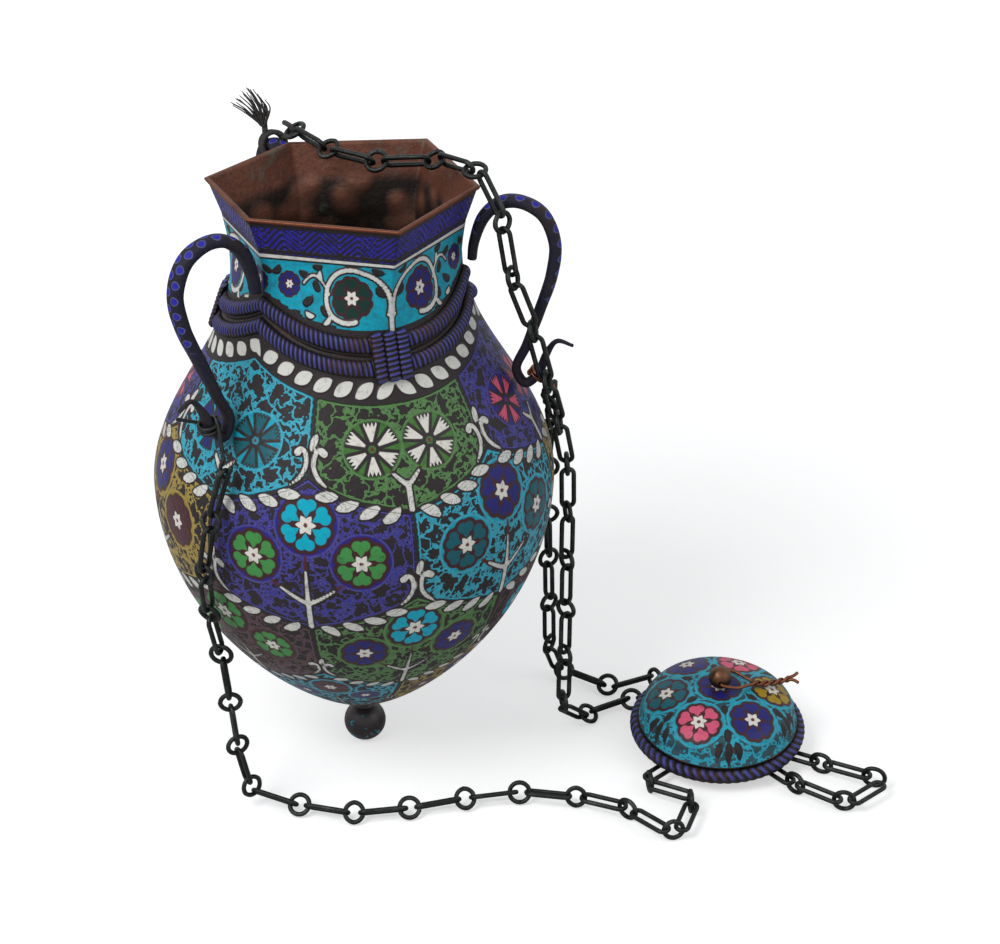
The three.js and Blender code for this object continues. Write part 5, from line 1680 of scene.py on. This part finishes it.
CHAIN_BODIES = {"chain_back_1": "far_end_links", "chain_back_2": "far_link",
                "chain_back_3": "far_ring", "tail_link_2": "near_ring",
                "tail_link_3": "near_link", "tail_link_4": "near_end_ring"}
TAIL_STEPS = ((-28, 6.2), (329, UPRIGHT + 0.4), (334, UPRIGHT + 0.2), (340, UPRIGHT))


def chain_start(side):
    return np.array([263.3, -54.8, UPRIGHT + 0.4]) if side == "back" else from_eye(
        EYE_DEGREES[side])


def chain_ends(materials=None):
    """Builds the chains, or only gives their pivots and last facings where there's no material."""
    ends = {}
    for side, plan in CHAINS.items():
        begin = walk(chain_start(side), plan["steps"])
        pivots = follow(begin, plan["route"], plan["count"])
        edges = edges_from(plan["starts"], len(pivots) - 1)
        if materials:
            build_chain(f"chain_{side}", pivots, len(begin) - 1, plan["turn"], edges, materials)
        ends[side] = (pivots, link_normals(pivots, len(begin) - 1, plan["turn"])[-1])
    return ends


# Operators: one for each piece or group of like pieces, and one for the stage

class LampOperator:
    bl_options = {"REGISTER", "UNDO"}

    def execute(self, context):
        self.build()
        return {"FINISHED"}


class LAMP_OT_bowl(LampOperator, bpy.types.Operator):
    """Build the round belly with its net of enamelled cells"""
    bl_idname = "lamp.bowl"
    bl_label = "Bowl"

    def build(self):
        build_bowl([enamel(), inside_copper()])


class LAMP_OT_neck(LampOperator, bpy.types.Operator):
    """Build the neck with its flowers, the zigzag collar and the copper lip"""
    bl_idname = "lamp.neck"
    bl_label = "Neck"

    def build(self):
        build_neck([enamel(), inside_copper(), rim_copper()])


class LAMP_OT_ropes(LampOperator, bpy.types.Operator):
    """Build both rope mouldings and the three knots across them"""
    bl_idname = "lamp.ropes"
    bl_label = "Ropes and knots"

    def build(self):
        lay = looks().rope_lay / MM
        strands = [rope_material()]
        build_rope("rope_upper_strands", 0, lay, strands)
        build_rope("rope_lower_strands", ROPE_SPACING, lay, strands)
        for side, degrees in KNOT_DEGREES.items():
            build_knot(side, degrees, lay, strands)


class LAMP_OT_handles(LampOperator, bpy.types.Operator):
    """Build the three scroll handles"""
    bl_idname = "lamp.handles"
    bl_label = "Handles"

    def build(self):
        for side in HANDLES:
            build_handle(side, [handle_material()])


class LAMP_OT_finial(LampOperator, bpy.types.Operator):
    """Build the ball finial and the washer inside the bowl"""
    bl_idname = "lamp.finial"
    bl_label = "Finial"

    def build(self):
        build_ball([ball_material()])
        build_washer([washer_material()])


class LAMP_OT_chains(LampOperator, bpy.types.Operator):
    """Build the three chains and the links beside the cap"""
    bl_idname = "lamp.chains"
    bl_label = "Chains"

    def build(self):
        iron = [iron_material()]
        chain_ends(iron)
        pivots = walk(from_eye(EYE_DEGREES["back"]), TAIL_STEPS)
        build_chain("tail_link", pivots, 4, 0, [0, 1, 2, 3, 4], iron)


class LAMP_OT_ties(LampOperator, bpy.types.Operator):
    """Build the wires and the cord that tie the chains to the handles"""
    bl_idname = "lamp.ties"
    bl_label = "Ties"

    def build(self):
        build_ties(chain_ends(), [iron_material()], [wire_material()], [cord_material()])


class LAMP_OT_cap(LampOperator, bpy.types.Operator):
    """Build the ceiling cap: dome, rope edge, bead and eyes"""
    bl_idname = "lamp.cap"
    bl_label = "Ceiling cap"

    def build(self):
        build_dome([enamel(), inside_copper()])
        build_cap_rope([rope_material()])
        build_bead([bead_material()])
        build_eyes([iron_material()])


class LAMP_OT_loop(LampOperator, bpy.types.Operator):
    """Build the twisted wire that the lamp hangs by"""
    bl_idname = "lamp.loop"
    bl_label = "Hanging loop"

    def build(self):
        build_loop([wire_material()])


CAMERA_PLACE = (0.0717, -0.9549, 0.6675)
CAMERA_PITCH = 28.08
CAMERA_ROLL = -0.254
CAMERA_FOCUS = 2.184
FLOOR_REACH = 3.0
SKY_STRENGTH = 0.42
# Each light's name, place, width and share of the key light's power
LIGHTS = (("key", (-0.7, -0.75, 1.3), 0.8, 1.0), ("fill", (1.2, -0.5, 0.9), 1.0, 0.25))
LIGHT_TARGET = (0.05, 0, 0.15)


def set_camera():
    """The photo's viewpoint, tilt and lens, as fitted."""
    pitch, roll = math.radians(CAMERA_PITCH), math.radians(CAMERA_ROLL)
    right = Vector((1, 0, 0))
    ahead = Vector((0, math.cos(pitch), -math.sin(pitch)))
    up = right.cross(ahead)
    turned_right = right * math.cos(roll) + up * math.sin(roll)
    turned_up = up * math.cos(roll) - right * math.sin(roll)
    data = bpy.data.cameras.new("camera")
    data.sensor_width, data.sensor_fit = 36, "HORIZONTAL"
    data.lens = CAMERA_FOCUS * data.sensor_width
    data.clip_start, data.clip_end = 0.05, 20
    camera = bpy.data.objects.new("camera", data)
    camera.matrix_world = Matrix.Translation(CAMERA_PLACE) @ Matrix(
        (turned_right, turned_up, -ahead)).transposed().to_4x4()
    bpy.context.scene.collection.objects.link(camera)
    bpy.context.scene.camera = camera


def white_to_rays(g, colour, strength):
    """Strength 1 white where the camera or a reflection looks, else the given light."""
    path = g.tree.nodes.new("ShaderNodeLightPath").outputs
    seen = g.most(path["Is Camera Ray"],
                  g.most(path["Is Glossy Ray"], path["Is Transmission Ray"]))
    return g.mix(seen, colour, (1, 1, 1)), g.ramp(seen, 1 - strength, strength)


def set_world(strength):
    """Soft light from all round, white where the camera sees it."""
    world = bpy.data.worlds.new("studio")
    world.use_nodes = True
    bpy.context.scene.world = world
    g = Graph(world.node_tree)
    colour, power = white_to_rays(g, (0.95, 0.97, 1), strength)
    back = world.node_tree.nodes["Background"]
    g.feed(back.inputs["Color"], colour)
    g.feed(back.inputs["Strength"], power)


def lamp_light(name, place, target, size, power):
    """A round soft light at a place, turned to the target."""
    data = bpy.data.lights.new(name, "AREA")
    data.shape, data.size, data.energy = "DISK", size, power
    light = bpy.data.objects.new(name, data)
    light.location = place
    light.rotation_euler = (Vector(target) - Vector(place)).to_track_quat("-Z", "Y").to_euler()
    bpy.context.scene.collection.objects.link(light)


def build_floor():
    """A pale floor that shows white and keeps the shadow: it glows for the camera, with painted
    light that grows away from the lamp.
    """
    r = FLOOR_REACH
    mesh = bpy.data.meshes.new("floor")
    mesh.from_pydata([(-r, -r, 0), (r, -r, 0), (r, r, 0), (-r, r, 0)], [], [(0, 1, 2, 3)])
    floor = bpy.data.objects.new("floor", mesh)
    bpy.context.scene.collection.objects.link(floor)

    def write(g):
        seen = g.node("ShaderNodeLightPath", output="Is Camera Ray")
        far = g.node("ShaderNodeVectorMath", [g.place()], "Value", operation="LENGTH")
        # painted light: the floor glows for the camera, less near the lamp, where its shadow falls,
        # and more farther off
        glow = g.ramp(g.ramp(far, 1.1, -0.38, clamp=True), 0.34, 0.52)
        return {"Base Color": (0.66, 0.66, 0.66), "Roughness": 0.9, "Specular IOR Level": 0.1,
                "Emission Color": (1, 1, 1), "Emission Strength": g.times(seen, glow)}
    mesh.materials.append(material("floor_paper", write))


class LAMP_OT_stage(LampOperator, bpy.types.Operator):
    """Set up the floor, the soft lights, the world and the camera"""
    bl_idname = "lamp.stage"
    bl_label = "Stage"

    def build(self):
        bpy.context.scene.view_settings.view_transform = "Standard"
        build_floor()
        set_camera()
        set_world(SKY_STRENGTH)
        for name, place, size, share in LIGHTS:
            lamp_light(name, place, LIGHT_TARGET, size, looks().light * share)


class LAMP_PT_panel(bpy.types.Panel):
    bl_label = "Lamp"
    bl_idname = "LAMP_PT_panel"
    bl_space_type = "VIEW_3D"
    bl_region_type = "UI"
    bl_category = "Lamp"

    def draw(self, context):
        own = context.scene.lamp_looks
        for name in own.bl_rna.properties.keys():
            if name not in ("rna_type", "name"):
                self.layout.prop(own, name)
        for step in STEPS:
            self.layout.operator(step.bl_idname)


STEPS = (LAMP_OT_bowl, LAMP_OT_neck, LAMP_OT_ropes, LAMP_OT_handles, LAMP_OT_finial,
         LAMP_OT_chains, LAMP_OT_ties, LAMP_OT_cap, LAMP_OT_loop, LAMP_OT_stage)
CLASSES = (LampLooks, *STEPS, LAMP_PT_panel)


def register():
    for each in CLASSES:
        bpy.utils.register_class(each)
    bpy.types.Scene.lamp_looks = PointerProperty(type=LampLooks)


def unregister():
    del bpy.types.Scene.lamp_looks
    for each in reversed(CLASSES):
        bpy.utils.unregister_class(each)


def main():
    register()
    for step in STEPS:
        area, name = step.bl_idname.split(".")
        getattr(getattr(bpy.ops, area), name)()


if __name__ == "__main__":
    main()
